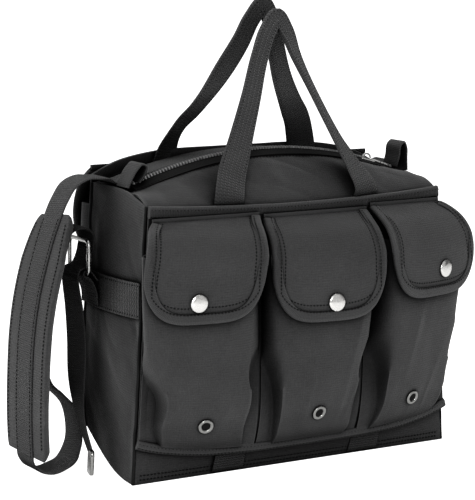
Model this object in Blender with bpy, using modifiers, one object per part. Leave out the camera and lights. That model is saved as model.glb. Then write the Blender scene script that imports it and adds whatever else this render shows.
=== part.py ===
"""Canvas flight bag: sewn body, arched zip, three snap pockets on each long side, two webbing
handles and a padded shoulder strap.

Frame: +X along the bag to its right-hand end, -Y out of the front, +Z up, origin at the middle
of the base on the ground. All sizes are in millimetres and are scaled to metres when a mesh is made.
"""

import math

import bmesh
import bpy
import numpy as np
from mathutils import Matrix, Vector

MM = 0.001
FRONT, BACK = -1, 1
LEFT, RIGHT = -1, 1

# Body
BASE_LENGTH = 314.0
TOP_LENGTH = 288.0
BASE_DEPTH = 99.0
TOP_DEPTH = 95.0
FRONT_TOP = 229.0
BACK_RISE = 28.0
SKIN = 2.0
GAP = 0.35
WRAP_GAP = 0.9
FLOOR_THICKNESS = 4.0
WALL_SWELL = ((0.0, 0.0), (0.16, 15.0), (0.45, 15.0), (0.7, 10.0), (1.0, 3.0))
END_SWELL = 6.0
TOP_CROWN = {FRONT: 5.0, BACK: -5.0}
CORNER_LIFT = 28.0
CORNER_TUCK = 15.0
TUCK_HEIGHT = 90.0
FLAT_SHARE = 0.6

# Zip
ZIP_TOP = 262.8
ZIP_END = 234.6
ZIP_HALF_SPAN = 144.0
ZIP_RISE = ZIP_TOP - ZIP_END
ZIP_RADIUS = (ZIP_HALF_SPAN**2 + ZIP_RISE**2) / (2 * ZIP_RISE)
ZIP_CENTRE = ZIP_TOP - ZIP_RADIUS
PANEL_TO_ZIP = 9.5
TAPE_INNER, TAPE_OUTER = 1.2, 7.6
TAPE_THICKNESS = 1.2
TAPE_HALF_LENGTH = 132.0
SLIDER_X = 104.0

TAB_PATHS = {
    "left": (
        (-141.5, 237.6), (-138.0, 246.5), (-132.0, 255.0), (-127.5, 258.0), (-124.5, 255.5), (-126.0, 250.0),
        (-129.5, 243.6),
    ),
    "right": (
        (141.5, 237.6), (139.5, 250.0), (137.5, 262.0), (135.0, 265.0), (132.5, 262.0), (131.5, 253.0),
        (129.5, 243.0),
    ),
}

# Webbing
WEB = 30.0
WEB_THICKNESS = 1.6
WRAP_X = 68.4
END_BAND_Z = 152.0

# Pocket panels
PANEL_OFFSET = 3.3
PANEL_THICKNESS = 1.2
BINDING = 9.0
LOW_BINDING = 7.0
BINDING_OFFSET = 3.9
BINDING_THICKNESS = 2.2
LOW_EDGE = 38.0
LOW_SAG = 12.6
TOP_SAG = 4.9

# Pockets and flaps
POCKET_LIP = 192.0
POCKET_SKIN = 1.4
FLAP_SKIN = 2.4
FLAP_DROPS = {FRONT: (79.0, 83.0, 76.0), BACK: (77.0, 77.0, 77.0)}
FLAP_HALF_WIDTH = 53.0
SEAMS = {FRONT: ((-50.0, -42.0), (52.0, 66.0)), BACK: ((-52.0, -48.0), (52.0, 48.0))}
FACE_X = {FRONT: (-115.0, 2.0, 115.0), BACK: (-99.0, 0.0, 99.0)}
STAND_SCALE = {FRONT: 1.0, BACK: 0.55}
WIDTH_SCALE = {FRONT: 1.0, BACK: 0.93}
FACE_YAW = {FRONT: (-8.0, -6.0, 14.0), BACK: (-3.0, 0.0, 3.0)}
SNAP_SHIFT = {FRONT: (-6.0, 4.0, 9.0), BACK: (0.0, 0.0, 0.0)}
POCKET_STAND = ((0.0, 6.5), (0.1, 12.0), (0.25, 19.0), (0.48, 27.0), (0.73, 31.0), (1.0, 29.0))
POCKET_WIDTH = ((0.0, 36.0), (0.25, 37.0), (0.48, 44.0), (0.73, 50.0), (1.0, 50.0))
POCKET_LEAN = ((0.0, 0.88), (0.1, 0.93), (0.25, 0.94), (0.48, 0.975), (0.73, 1.0), (1.0, 1.0))
FLAP_STAND = ((0.0, 7.6), (0.15, 18.0), (0.33, 31.0), (0.5, 37.5), (0.7, 39.0), (1.0, 37.5))
FLAP_FALL = ((0.0, 0.0), (0.15, 0.035), (0.33, 0.14), (0.5, 0.33), (0.7, 0.57), (1.0, 1.0))
SNAP_AT = {FRONT: (0.86, 0.88, 0.8), BACK: (0.82, 0.82, 0.82)}
GROMMET_Z = 49.4
SNAP_RADIUS = 7.5
GROMMET_RADIUS = 7.0
GROMMET_HOLE = 4.4

# Handles
HANDLE_THICKNESS = 1.6
HANDLE_WIDTH = (
    (0.0, 30.0), (0.1, 28.5), (0.2, 23.0), (0.3, 17.0), (0.5, 13.6), (0.7, 17.0), (0.8, 23.0), (0.9, 28.5),
    (1.0, 30.0),
)
HANDLE_POINTS = {
    FRONT: (
        (-68.4, 51.8, 232.0), (-61.5, 44.5, 251.0), (-52.0, 38.5, 271.0), (-35.5, 30.0, 311.0),
        (-20.5, 20.5, 346.0), (-10.0, 16.0, 366.0), (0.5, 14.2, 377.5), (8.5, 16.0, 366.0),
        (15.0, 20.5, 346.0), (29.5, 30.0, 311.0), (49.0, 38.5, 271.0), (60.0, 44.5, 251.0),
        (68.4, 51.8, 232.0),
    ),
    BACK: (
        (-68.4, 51.6, 269.5), (-60.0, 46.0, 282.5), (-48.5, 39.5, 297.0), (-30.0, 29.5, 326.0),
        (-14.5, 20.0, 355.5), (-6.5, 15.5, 375.0), (3.0, 13.8, 386.5), (12.0, 15.5, 375.0),
        (19.5, 20.0, 355.5), (33.0, 29.5, 326.0), (50.5, 39.5, 297.0), (61.0, 46.0, 282.5),
        (68.4, 51.6, 269.5),
    ),
}

# Shoulder strap
STRAP_Y = 26.0
PAD_Y = 18.0
PAD_WIDTH = 66.0
PAD_THICKNESS = 9.0
WIRE = 1.75
RING_X = 167.0
RING_LOW, RING_HIGH = 167.5, 195.0
RING_HALF_WIDTH = 17.5
DROP_PATH = (
    (-151.5, 245.6), (-165.0, 246.2), (-177.0, 241.5), (-187.0, 229.5), (-196.0, 213.0), (-207.5, 182.0),
    (-216.0, 150.0), (-220.5, 120.0), (-222.5, 85.0), (-223.0, 50.0), (-222.0, 20.0),
)
LOOP_PATH = (
    (-221.4, 18.6), (-216.0, 8.5), (-205.0, 3.2), (-190.0, 3.2), (-176.0, 7.5), (-167.5, 19.0), (-166.0, 34.0),
    (-170.0, 50.0), (-182.0, 63.5), (-195.0, 76.0), (-202.0, 95.0), (-203.5, 120.0), (-201.0, 143.0),
    (-197.0, 159.0), (-193.4, 170.6),
)
TURN_PATH = (
    (-193.2, 172.0), (-190.5, 186.0), (-185.0, 198.0), (-176.0, 205.0), (-166.5, 205.0), (-159.5, 198.0),
    (-157.5, 187.0), (-160.5, 178.0), (-167.0, 172.6), (-173.0, 170.8), (-175.6, 164.8),
)
TAIL_PATH = (
    (-175.5, 161.2), (-173.0, 138.0), (-172.0, 110.0), (-174.5, 76.0), (-176.0, 50.0), (-175.5, 24.5)
)
RUN_Y = (
    (0.0, STRAP_Y), (0.08, 29.0), (0.2, 31.0), (0.45, 31.0), (0.56, 28.0), (0.66, STRAP_Y), (1.0, STRAP_Y)
)
DROP_Y = ((0.0, STRAP_Y), (0.1, 25.0), (0.25, 20.0), (0.35, PAD_Y), (1.0, PAD_Y))
LOOP_Y = ((0.0, PAD_Y), (0.12, 22.0), (0.28, 37.0), (0.5, 40.0), (0.65, 33.0), (0.85, 26.5), (1.0, STRAP_Y))


# ---------------------------------------------------------------- curves and surfaces


def along(knots, t):
    """Value at t of a smooth curve through (t, value) knots."""
    ts = np.array([knot[0] for knot in knots], float)
    values = np.array([knot[1] for knot in knots], float)
    slopes = np.gradient(values, ts, axis=0)
    i = int(np.clip(np.searchsorted(ts, t, side="right") - 1, 0, len(ts) - 2))
    span = ts[i + 1] - ts[i]
    s = min(max((t - ts[i]) / span, 0.0), 1.0)
    start = (1 + 2 * s) * (1 - s) ** 2 * values[i] + s * (1 - s) ** 2 * span * slopes[i]
    end = s * s * (3 - 2 * s) * values[i + 1] + s * s * (s - 1) * span * slopes[i + 1]
    return start + end


def path_knots(points):
    """Gives each point of a path its share of the path's length."""
    points = np.array(points, float)
    steps = np.linalg.norm(np.diff(points, axis=0), axis=1)
    return list(zip(np.concatenate([[0.0], np.cumsum(steps)]) / steps.sum(), points))


def path_frame(knots, t):
    """Point of a plane path, and the unit vector to the left of its direction."""
    ahead = along(knots, min(t + 0.002, 1.0)) - along(knots, max(t - 0.002, 0.0))
    ahead /= np.linalg.norm(ahead)
    return along(knots, t), np.array([-ahead[1], ahead[0]])


def mix(a, b, t):
    return a + (b - a) * t


def zip_z(x):
    return ZIP_CENTRE + math.sqrt(ZIP_RADIUS**2 - x * x)


def tuck(z, w):
    """How far the ends draw in near the ground, towards the back (w from 0 at the front to 1)."""
    return CORNER_TUCK * w * w * max(0.0, 1 - z / TUCK_HEIGHT) ** 2


def half_length(z, w=0.0):
    return mix(BASE_LENGTH, TOP_LENGTH, z / FRONT_TOP) / 2 - tuck(z, w)


def half_depth(z):
    return mix(BASE_DEPTH, TOP_DEPTH, z / FRONT_TOP) / 2


def back_share(side):
    return 0.0 if side == FRONT else 1.0


def body_top(side):
    return FRONT_TOP + BACK_RISE * back_share(side)


def wall(side, x, z):
    """The body's outer front or back surface."""
    u = x / half_length(z, back_share(side))
    return side * (half_depth(z) + along(WALL_SWELL, z / body_top(side)) * max(0.0, 1 - u * u))


def wall_yaw(side, x, z):
    """Plan angle of the wall, turned so that 0 faces straight out."""
    step = 1.0
    slope = (wall(side, x + step, z) - wall(side, x - step, z)) / (2 * step)
    return math.degrees(math.atan(slope))


def shoulder(side, u):
    if side == FRONT:
        return FRONT_TOP - TOP_SAG * (1 - u * u)
    return 238.0 + 13.0 * (1 - u * u)


def base_lift(u, w):
    """The rear corners of the soft base ride up off the ground."""
    return CORNER_LIFT * max(0.0, (abs(u) - FLAT_SHARE) / (1 - FLAT_SHARE)) ** 2 * w * w


def top_surface(side, u, t):
    """The sloping top, from the shoulder (t = 0) to the zip (t = 1)."""
    z = shoulder(side, u)
    x = u * half_length(z, back_share(side))
    start = np.array([x, wall(side, x, z), z])
    end_x = u * (ZIP_HALF_SPAN - 3.0)
    end = np.array([end_x, side * PANEL_TO_ZIP, zip_z(end_x)])
    crown = TOP_CROWN[side] * math.sin(math.pi * t) * (1 - u**8 * back_share(side))
    return mix(start, end, t) + crown * np.array([0.0, 0.55 * side, 0.83])


def body_surface(side, u, v):
    """Front or back of the body: the wall up to the shoulder, then the top up to the zip."""
    wall_share = 0.7
    if v > wall_share:
        return top_surface(side, u, (v - wall_share) / (1 - wall_share))
    w = back_share(side)
    z = mix(GAP + base_lift(u, w), shoulder(side, u), (v / wall_share) ** 1.4)
    x = u * half_length(z, w)
    return np.array([x, wall(side, x, z), z])


def end_surface(side, w, v):
    inset = SKIN + 0.6
    top = along(((0.0, FRONT_TOP), (0.4, 236.0), (0.6, 236.5), (1.0, 238.0)), w) - 6.0
    z = mix(GAP + base_lift(1.0, w), top, v)
    y = mix(-1, 1, w) * (half_depth(z) - inset)
    swell = END_SWELL * (1 - (2 * w - 1) ** 2) * math.sin(math.pi * v)
    return np.array([side * (half_length(z, w) + swell), y, z])


def end_at(side, y, z):
    """The end panel's outer X at a given place."""
    w = (y / half_depth(z) + 1) / 2
    swell = END_SWELL * (1 - (2 * w - 1) ** 2) * math.sin(math.pi * z / 236.0)
    return side * (half_length(z, w) + swell)


def floor_surface(u, w):
    inset = SKIN + 0.6
    y = mix(-1, 1, w) * (half_depth(0.0) - inset)
    return np.array([u * (half_length(0.0, w) - inset), y, base_lift(u, w)])


def panel_top(side, u):
    if side == FRONT:
        return shoulder(FRONT, u)
    return 262.0 - 19.0 * abs(u) ** 4.5


def panel_bottom(side, u):
    return LOW_EDGE + BACK_RISE * back_share(side) - LOW_SAG * (1 - u**4)


def panel_surface(side, u, z, offset):
    x = u * half_length(z, back_share(side))
    return np.array([x, wall(side, x, z) + side * offset, z])


def face_frame(side, x, z, stand, yaw):
    """Point standing off the wall at x, z, with the directions across and out of a pocket face."""
    angle = math.radians(yaw)
    across = np.array([math.cos(angle), math.sin(angle), 0.0])
    out = side * np.array([-math.sin(angle), math.cos(angle), 0.0])
    point = np.array([x, wall(side, x, z) + side * stand, z])
    return point, across, out


def pocket_bottom(side, index):
    return panel_bottom(side, FACE_X[side][index] * 0.9 / (BASE_LENGTH / 2)) + 1.6


def pocket_seams(side, index, z):
    """Left and right edges where a pocket is sewn to its panel."""
    lean = (z - 30.0 - BACK_RISE * back_share(side)) / 190.0
    edge = half_length(z, back_share(side)) - 0.8
    inner = [mix(low, high, lean) for low, high in SEAMS[side]]
    edges = [-edge, inner[0], inner[1], edge]
    return edges[index] + 1.2 * (index > 0), edges[index + 1] - 1.2 * (index < 2)


def pocket_stand(side, share):
    return 6.5 + (along(POCKET_STAND, share) - 6.5) * STAND_SCALE[side]


def pocket_face(side, index, share, a):
    """Outer face of a pocket: share runs from its bottom to its lip, a across it in millimetres."""
    low = pocket_bottom(side, index)
    z = mix(low, POCKET_LIP + BACK_RISE * back_share(side), share)
    x = FACE_X[side][index] * along(POCKET_LEAN, share)
    turned = mix(wall_yaw(side, x, z), FACE_YAW[side][index] * -side, min(1.0, share * 1.6))
    point, across, out = face_frame(side, x, z, pocket_stand(side, share), turned)
    half = along(POCKET_WIDTH, share) * WIDTH_SCALE[side]
    return point + across * a + out * 2.0 * (1 - (a / half) ** 2) * min(1.0, share * 3)


def pocket_surface(side, index, u, share):
    """A pocket's U section, from its left seam round the face to its right seam."""
    point = pocket_section(side, index, u, share)
    edge = panel_bottom(side, max(-1.0, min(1.0, point[0] / (BASE_LENGTH / 2)))) + 1.6
    point[2] += (edge - pocket_bottom(side, index)) * (1 - share) ** 3
    return point


def pocket_section(side, index, u, share):
    low = pocket_bottom(side, index)
    z = mix(low, POCKET_LIP + BACK_RISE * back_share(side), share)
    half = along(POCKET_WIDTH, share) * WIDTH_SCALE[side]
    pleat = 0.22
    if pleat <= u <= 1 - pleat:
        return pocket_face(side, index, share, mix(-half, half, (u - pleat) / (1 - 2 * pleat)))
    left = u < 0.5
    seam_x = pocket_seams(side, index, z)[0 if left else 1]
    seam = np.array([seam_x, wall(side, seam_x, z) + side * 6.6, z])
    corner = pocket_face(side, index, share, -half if left else half)
    out = (u if left else 1 - u) / pleat
    return mix(seam, corner, out)


def flap_top(side, x):
    z = body_top(side)
    return panel_top(side, x / half_length(z, back_share(side))) - BINDING - 1.4


def flap_surface(side, index, u, v):
    """Outer face of a flap: u from -1 to 1 across, v from its hinge to its rounded lower edge."""
    v = v * (1 - 0.4 * (1 - math.sqrt(max(0.0, 1 - abs(u) ** 3))))
    height = body_top(side) - 10.0
    left, right = pocket_seams(side, index, height)
    top_x, top_half = (left + right) / 2, (right - left) / 2 - 1.0
    opened = along(((0.0, 0.0), (0.35, 0.6), (0.7, 0.95), (1.0, 1.0)), v)
    x = mix(top_x, FACE_X[side][index], opened)
    z = flap_top(side, x) - FLAP_DROPS[side][index] * along(FLAP_FALL, v)
    turned = mix(wall_yaw(side, x, z), FACE_YAW[side][index] * -side, opened)
    stand = 7.6 + (along(FLAP_STAND, v) - 7.6) * (STAND_SCALE[side] * 1.02)
    point, across, out = face_frame(side, x, z, stand, turned)
    half = mix(top_half, FLAP_HALF_WIDTH * WIDTH_SCALE[side], opened)
    return point + across * u * half + out * 2.5 * (1 - u * u) * opened


def surface_frame(surface, u, v, side):
    """Point, outward normal and matrix for something set on a surface."""
    step = 0.02
    point = surface(u, v)
    du = surface(u + step, v) - surface(u - step, v)
    dv = surface(u, v + step) - surface(u, v - step)
    normal = np.cross(du, dv)
    normal /= np.linalg.norm(normal)
    if normal[1] * side < 0:
        normal = -normal
    turn = Vector((0, 0, 1)).rotation_difference(Vector(normal)).to_matrix().to_4x4()
    return point, normal, turn


# ---------------------------------------------------------------- Blender helpers


def clear_scene():
    for obj in list(bpy.data.objects):
        bpy.data.objects.remove(obj, do_unlink=True)
    for mesh in list(bpy.data.meshes):
        bpy.data.meshes.remove(mesh)


def principled(name, colour, roughness, metallic=0.0):
    material = bpy.data.materials.new(name)
    material.use_nodes = True
    shader = material.node_tree.nodes["Principled BSDF"]
    shader.inputs["Base Color"].default_value = (*colour, 1.0)
    shader.inputs["Roughness"].default_value = roughness
    shader.inputs["Metallic"].default_value = metallic
    return material


FINISHES = {
    "canvas": ((0.045, 0.045, 0.047), 0.9, 0.0),
    "webbing": ((0.05, 0.05, 0.052), 0.8, 0.0),
    "pad": ((0.042, 0.042, 0.044), 0.95, 0.0),
    "nickel": ((0.72, 0.72, 0.7), 0.25, 1.0),
    "tape": ((0.03, 0.03, 0.032), 0.8, 0.0),
}


def add_object(name, mesh, finish, collection):
    obj = bpy.data.objects.new(name, mesh)
    collection.objects.link(obj)
    colour, roughness, metallic = FINISHES[finish]
    mesh.materials.clear()
    mesh.materials.append(principled(f"{name}_{finish}", colour, roughness, metallic))
    return obj


def grid_mesh(name, surface, columns, rows):
    """Open sheet over surface(u, v) with u and v from 0 to 1."""
    mesh = bpy.data.meshes.new(name)
    sheet_bm = bmesh.new()
    bmesh.ops.create_grid(sheet_bm, x_segments=columns, y_segments=rows, size=0.5)
    for vertex in sheet_bm.verts:
        u, v = vertex.co.x + 0.5, vertex.co.y + 0.5
        vertex.co = Vector([float(c) * MM for c in surface(u, v)])
    sheet_bm.to_mesh(mesh)
    sheet_bm.free()
    return mesh


def sheet(name, surface, columns, rows, thickness, finish, collection, facing=None, offset=-1.0):
    """Cloth of a given thickness. facing is a direction the open sheet's faces should look to."""
    mesh = grid_mesh(name, surface, columns, rows)
    if facing is not None:
        total = Vector((0, 0, 0))
        for polygon in mesh.polygons:
            total += polygon.normal * polygon.area
        if total.dot(Vector(facing)) < 0:
            mesh.flip_normals()
    obj = add_object(name, mesh, finish, collection)
    solidify = obj.modifiers.new("thickness", "SOLIDIFY")
    solidify.thickness = thickness * MM
    solidify.offset = offset
    return obj


def turned(name, profile, steps, finish, collection, placed):
    """Ring or button turned about Z from a closed profile of (radius, height)."""
    mesh = bpy.data.meshes.new(name)
    turned_bm = bmesh.new()
    points = [turned_bm.verts.new((r * MM, 0.0, h * MM)) for r, h in profile]
    on_axis = [point for point, (r, _) in zip(points, profile) if r == 0.0]
    for a, b in zip(points, points[1:] + points[:1]):
        if a not in on_axis or b not in on_axis:
            turned_bm.edges.new((a, b))
    bmesh.ops.spin(
        turned_bm, geom=turned_bm.verts[:] + turned_bm.edges[:], cent=(0, 0, 0), axis=(0, 0, 1),
        angle=2 * math.pi, steps=steps, use_merge=True,
    )
    bmesh.ops.remove_doubles(turned_bm, verts=turned_bm.verts[:], dist=1e-6)
    bmesh.ops.recalc_face_normals(turned_bm, faces=turned_bm.faces[:])
    turned_bm.to_mesh(mesh)
    turned_bm.free()
    mesh.shade_smooth()
    mesh.set_sharp_from_angle(angle=math.radians(35))
    obj = add_object(name, mesh, finish, collection)
    obj.matrix_world = placed
    return obj


def block_mesh(name, low, high):
    mesh = bpy.data.meshes.new(name)
    block_bm = bmesh.new()
    bmesh.ops.create_cube(block_bm, size=1.0)
    middle = [(a + b) / 2 * MM for a, b in zip(low, high)]
    size = [(b - a) * MM for a, b in zip(low, high)]
    bmesh.ops.scale(block_bm, vec=size, verts=block_bm.verts)
    bmesh.ops.translate(block_bm, vec=middle, verts=block_bm.verts)
    block_bm.to_mesh(mesh)
    block_bm.free()
    return mesh


def wire_mesh(name, points, radius, cyclic):
    """Wire along the points, as a mesh with its caps welded on."""
    curve = bpy.data.curves.new(name, "CURVE")
    curve.dimensions = "3D"
    curve.bevel_depth = radius * MM
    curve.bevel_resolution = 2
    curve.use_fill_caps = True
    spline = curve.splines.new("POLY")
    spline.points.add(len(points) - 1)
    for spot, point in zip(spline.points, points):
        spot.co = (*[c * MM for c in point], 1.0)
    spline.use_cyclic_u = cyclic
    holder = bpy.data.objects.new(name + "_curve", curve)
    bpy.context.scene.collection.objects.link(holder)
    graph = bpy.context.evaluated_depsgraph_get()
    mesh = bpy.data.meshes.new_from_object(holder.evaluated_get(graph))
    bpy.data.objects.remove(holder, do_unlink=True)
    bpy.data.curves.remove(curve)
    wire_bm = bmesh.new()
    wire_bm.from_mesh(mesh)
    bmesh.ops.remove_doubles(wire_bm, verts=wire_bm.verts[:], dist=1e-6)
    bmesh.ops.recalc_face_normals(wire_bm, faces=wire_bm.faces[:])
    wire_bm.to_mesh(mesh)
    wire_bm.free()
    mesh.name = name
    return mesh


def helper(name, mesh, helpers, placed=None):
    """Cutter, or a shape to be joined on, that is no piece by itself."""
    obj = bpy.data.objects.new(name, mesh)
    helpers.objects.link(obj)
    obj.hide_render = True
    obj.display_type = "WIRE"
    if placed is not None:
        obj.matrix_world = placed
    return obj


def boolean(obj, other, operation):
    modifier = obj.modifiers.new(operation.lower(), "BOOLEAN")
    modifier.operation = operation
    modifier.object = other
    modifier.solver = "EXACT"


def pivot(name, point, collection):
    empty = bpy.data.objects.new(name, None)
    empty.location = Vector([c * MM for c in point])
    empty.empty_display_size = 0.01
    collection.objects.link(empty)
    return empty


def hang_on(empty, *objects):
    """Parents pieces to an empty on their joint's axis, leaving them in place."""
    for obj in objects:
        obj.parent = empty
        obj.matrix_parent_inverse = Matrix.Translation(empty.location).inverted()


# ---------------------------------------------------------------- the bag's body


def build_body(parts, helpers):
    cutters = [
        helper(f"wrap_channel_{word}", block_mesh("wrap_channel", *channel_box(sign)), helpers)
        for sign, word in ((LEFT, "left"), (RIGHT, "right"))
    ]
    for side, name in ((FRONT, "front_panel"), (BACK, "back_panel")):
        face = lambda u, v, s=side: body_surface(s, 2 * u - 1, v)
        panel = sheet(name, face, 18, 16, SKIN, "canvas", parts, (0, side, 0.2))
        for cutter in cutters:
            boolean(panel, cutter, "DIFFERENCE")
    for side, name in ((LEFT, "left_end_panel"), (RIGHT, "right_end_panel")):
        sheet(name, lambda u, v, s=side: end_surface(s, u, v), 8, 10, SKIN, "canvas", parts, (side, 0, 0))
    ground = lambda u, v: floor_surface(2 * u - 1, v)
    floor = sheet("bottom_panel", ground, 20, 4, FLOOR_THICKNESS, "canvas", parts, (0, 0, -1))
    for cutter in cutters:
        boolean(floor, cutter, "DIFFERENCE")


def channel_box(sign):
    middle = sign * WRAP_X
    half = WEB / 2 + 0.6
    return (middle - half, -75.0, -1.0), (middle + half, 75.0, WEB_THICKNESS + 0.6)


def build_webbing_wraps(parts):
    for sign, word in ((LEFT, "left"), (RIGHT, "right")):
        sheet(
            f"webbing_wrap_{word}", lambda u, v, s=sign: wrap_surface(s, u, v), 2, 22, WEB_THICKNESS,
            "webbing", parts, (0, 0, -1), offset=1.0,
        )


def wrap_surface(sign, u, v):
    """Inner face of the webbing: down the front, under the base and up the back."""
    x = sign * WRAP_X + WEB * (u - 0.5)
    legs = {FRONT: FRONT_TOP - 9.0, BACK: FRONT_TOP + 22.0}
    under = 1 / 22
    if abs(v - 0.5) <= under + 1e-6:
        reach = half_depth(0.0) + WRAP_GAP
        return np.array([x, mix(-reach, reach, (v - 0.5 + under) / (2 * under)), WEB_THICKNESS])
    side = FRONT if v < 0.5 else BACK
    climb = (abs(v - 0.5) - under) / (0.5 - under)
    z = mix(WEB_THICKNESS, legs[side], climb**1.4)
    return np.array([x, wall(side, x, z) + side * WRAP_GAP, z])


def build_end_webbing(parts):
    half = WEB / 2
    for side, word in ((LEFT, "left"), (RIGHT, "right")):

        def band(u, v, s=side):
            z = END_BAND_Z + half * (2 * v - 1)
            y = 45.6 * (2 * u - 1)
            return np.array([end_at(s, y, z) + s * (GAP + 0.5), y, z])

        sheet(f"{word}_end_band", band, 8, 2, WEB_THICKNESS, "webbing", parts, (side, 0, 0), offset=1.0)
        low = (side * RING_X, RING_LOW)
        foot = end_at(side, STRAP_Y - WEB / 2, END_BAND_Z) + side * (GAP + 0.5 + WEB_THICKNESS + GAP + 0.8)
        turn = [
            (low[0] + side * 2.9 * math.cos(a), low[1] + 2.9 * math.sin(a))
            for a in np.radians([118, 90, 55, 20, -20, -55, -90])
        ]
        anchor = path_knots([(foot, 161.0), *turn, (foot + side * 1.0, 151.0), (foot, 140.0)])

        def tab(u, v, knots=anchor):
            x, z = along(knots, v)
            return np.array([x, STRAP_Y + (WEB - 1.0) * (u - 0.5), z])

        sheet(f"{word}_anchor_tab", tab, 1, 26, 1.2, "webbing", parts, (side, 0, -0.3), offset=1.0)


# ---------------------------------------------------------------- zip


def build_zip(parts, helpers):
    for side, word in ((FRONT, "front"), (BACK, "back")):

        def tape(u, v, s=side):
            x = TAPE_HALF_LENGTH * (2 * u - 1)
            return np.array([x, s * mix(TAPE_INNER, TAPE_OUTER, v), zip_z(x)])

        sheet(f"zipper_tape_{word}", tape, 24, 1, TAPE_THICKNESS, "tape", parts, (0, 0, 1))
    build_slider(parts, helpers)
    for word, points in TAB_PATHS.items():
        loop = path_knots(points)

        def tab(u, v, knots=loop):
            x, z = along(knots, v)
            return np.array([x, 10.0 * (2 * u - 1), z])

        sheet(f"zipper_end_tab_{word}", tab, 1, 18, WEB_THICKNESS, "canvas", parts, (0, 0, 1), offset=0.0)


def slider_frame():
    """Place of the slider on the arch, with X along the zip."""
    lean = math.asin(SLIDER_X / ZIP_RADIUS)
    return Matrix.Translation((SLIDER_X * MM, 0, zip_z(SLIDER_X) * MM)) @ Matrix.Rotation(lean, 4, "Y")


def build_slider(parts, helpers):
    frame = slider_frame()
    top_plate = ((-7.5, -4.6, 0.4), (7.5, 4.6, 2.0))
    slider = add_object("zipper_slider", block_mesh("zipper_slider", *top_plate), "nickel", parts)
    slider.matrix_world = frame
    neck = helper("slider_neck", block_mesh("neck", (2.0, -0.8, -2.4), (6.0, 0.8, 1.0)), helpers, frame)
    foot_plate = block_mesh("foot", (-7.0, -4.4, -3.0), (7.0, 4.4, -1.7))
    foot = helper("slider_foot", foot_plate, helpers, frame)
    arch = [(4.6 * math.cos(a), 0.0, 1.6 + 5.0 * math.sin(a)) for a in np.radians(range(0, 181, 20))]
    crown = helper("slider_crown", wire_mesh("crown", arch, 0.8, False), helpers, frame)
    for other in (neck, foot, crown):
        boolean(slider, other, "UNION")
    bar_height = 3.1
    tag = ((1.2, -3.6, -0.55), (24.5, 3.6, 0.55))
    hinge = frame @ Matrix.Translation((0, 0, bar_height * MM))
    pull = add_object("zipper_pull", block_mesh("zipper_pull", *tag), "nickel", parts)
    pull.matrix_world = hinge @ Matrix.Rotation(math.radians(3), 4, "Y")
    slot_mesh = block_mesh("slot", (2.4, -2.0, -3.0), (7.6, 2.0, 3.0))
    boolean(pull, helper("pull_slot", slot_mesh, helpers, pull.matrix_world), "DIFFERENCE")
    hang_on(pivot("pull_axis", [c / MM for c in hinge.translation], parts), pull)


# ---------------------------------------------------------------- pocket sides


def union_strip(obj, name, surface, columns, thickness, helpers, side):
    mesh = grid_mesh(name, surface, columns, 1)
    total = sum((p.normal.y for p in mesh.polygons), 0.0)
    if total * side < 0:
        mesh.flip_normals()
    strip = helper(name, mesh, helpers)
    solidify = strip.modifiers.new("thickness", "SOLIDIFY")
    solidify.thickness = thickness * MM
    solidify.offset = 1.0
    boolean(obj, strip, "UNION")


def build_pocket_panel(side, word, parts, helpers):
    def panel(u, v):
        u = 2 * u - 1
        z = mix(panel_bottom(side, u) - LOW_BINDING + 0.7, panel_top(side, u) - 0.6, v)
        return panel_surface(side, u, z, PANEL_OFFSET)

    def top_binding(u, v):
        u = (2 * u - 1) * 0.997
        return panel_surface(side, u, panel_top(side, u) - BINDING * (1 - v), BINDING_OFFSET)

    def low_binding(u, v):
        u = (2 * u - 1) * 0.997
        return panel_surface(side, u, panel_bottom(side, u) - LOW_BINDING * (1 - v), BINDING_OFFSET)

    facing = (0, side, 0)
    name = f"{word}_pocket_panel"
    obj = sheet(name, panel, 18, 10, PANEL_THICKNESS, "canvas", parts, facing, offset=1.0)
    union_strip(obj, f"{word}_top_binding", top_binding, 18, BINDING_THICKNESS, helpers, side)
    union_strip(obj, f"{word}_low_binding", low_binding, 18, BINDING_THICKNESS, helpers, side)


def build_pocket(side, word, index, place, parts, helpers):
    pocket = sheet(
        f"{word}_pocket_{place}", lambda u, v: pocket_surface(side, index, u, v), 14, 9, POCKET_SKIN,
        "canvas", parts, (0, side, 0),
    )
    low = pocket_bottom(side, index)
    rise = BACK_RISE * back_share(side)
    share = (GROMMET_Z + rise - low) / (POCKET_LIP + rise - low)
    face = lambda a, s: pocket_face(side, index, s, a * 36.0)
    point, normal, turn = surface_frame(face, 0.0, share, side)
    placed = Matrix.Translation(Vector(point * MM)) @ turn
    hole = bpy.data.meshes.new("drain_hole")
    hole_bm = bmesh.new()
    radius = GROMMET_HOLE * MM
    bmesh.ops.create_cone(hole_bm, cap_ends=True, segments=20, radius1=radius, radius2=radius, depth=10 * MM)
    hole_bm.to_mesh(hole)
    hole_bm.free()
    boolean(pocket, helper(f"{word}_drain_hole_{place}", hole, helpers, placed), "DIFFERENCE")
    eyelet = [
        (3.2, -2.2), (3.9, -2.2), (3.9, 0.5), (6.4, 0.5), (GROMMET_RADIUS, 0.8), (6.2, 1.5), (4.4, 1.7),
        (3.2, 1.0),
    ]
    turned(f"{word}_grommet_{place}", eyelet, 20, "nickel", parts, placed)


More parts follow.
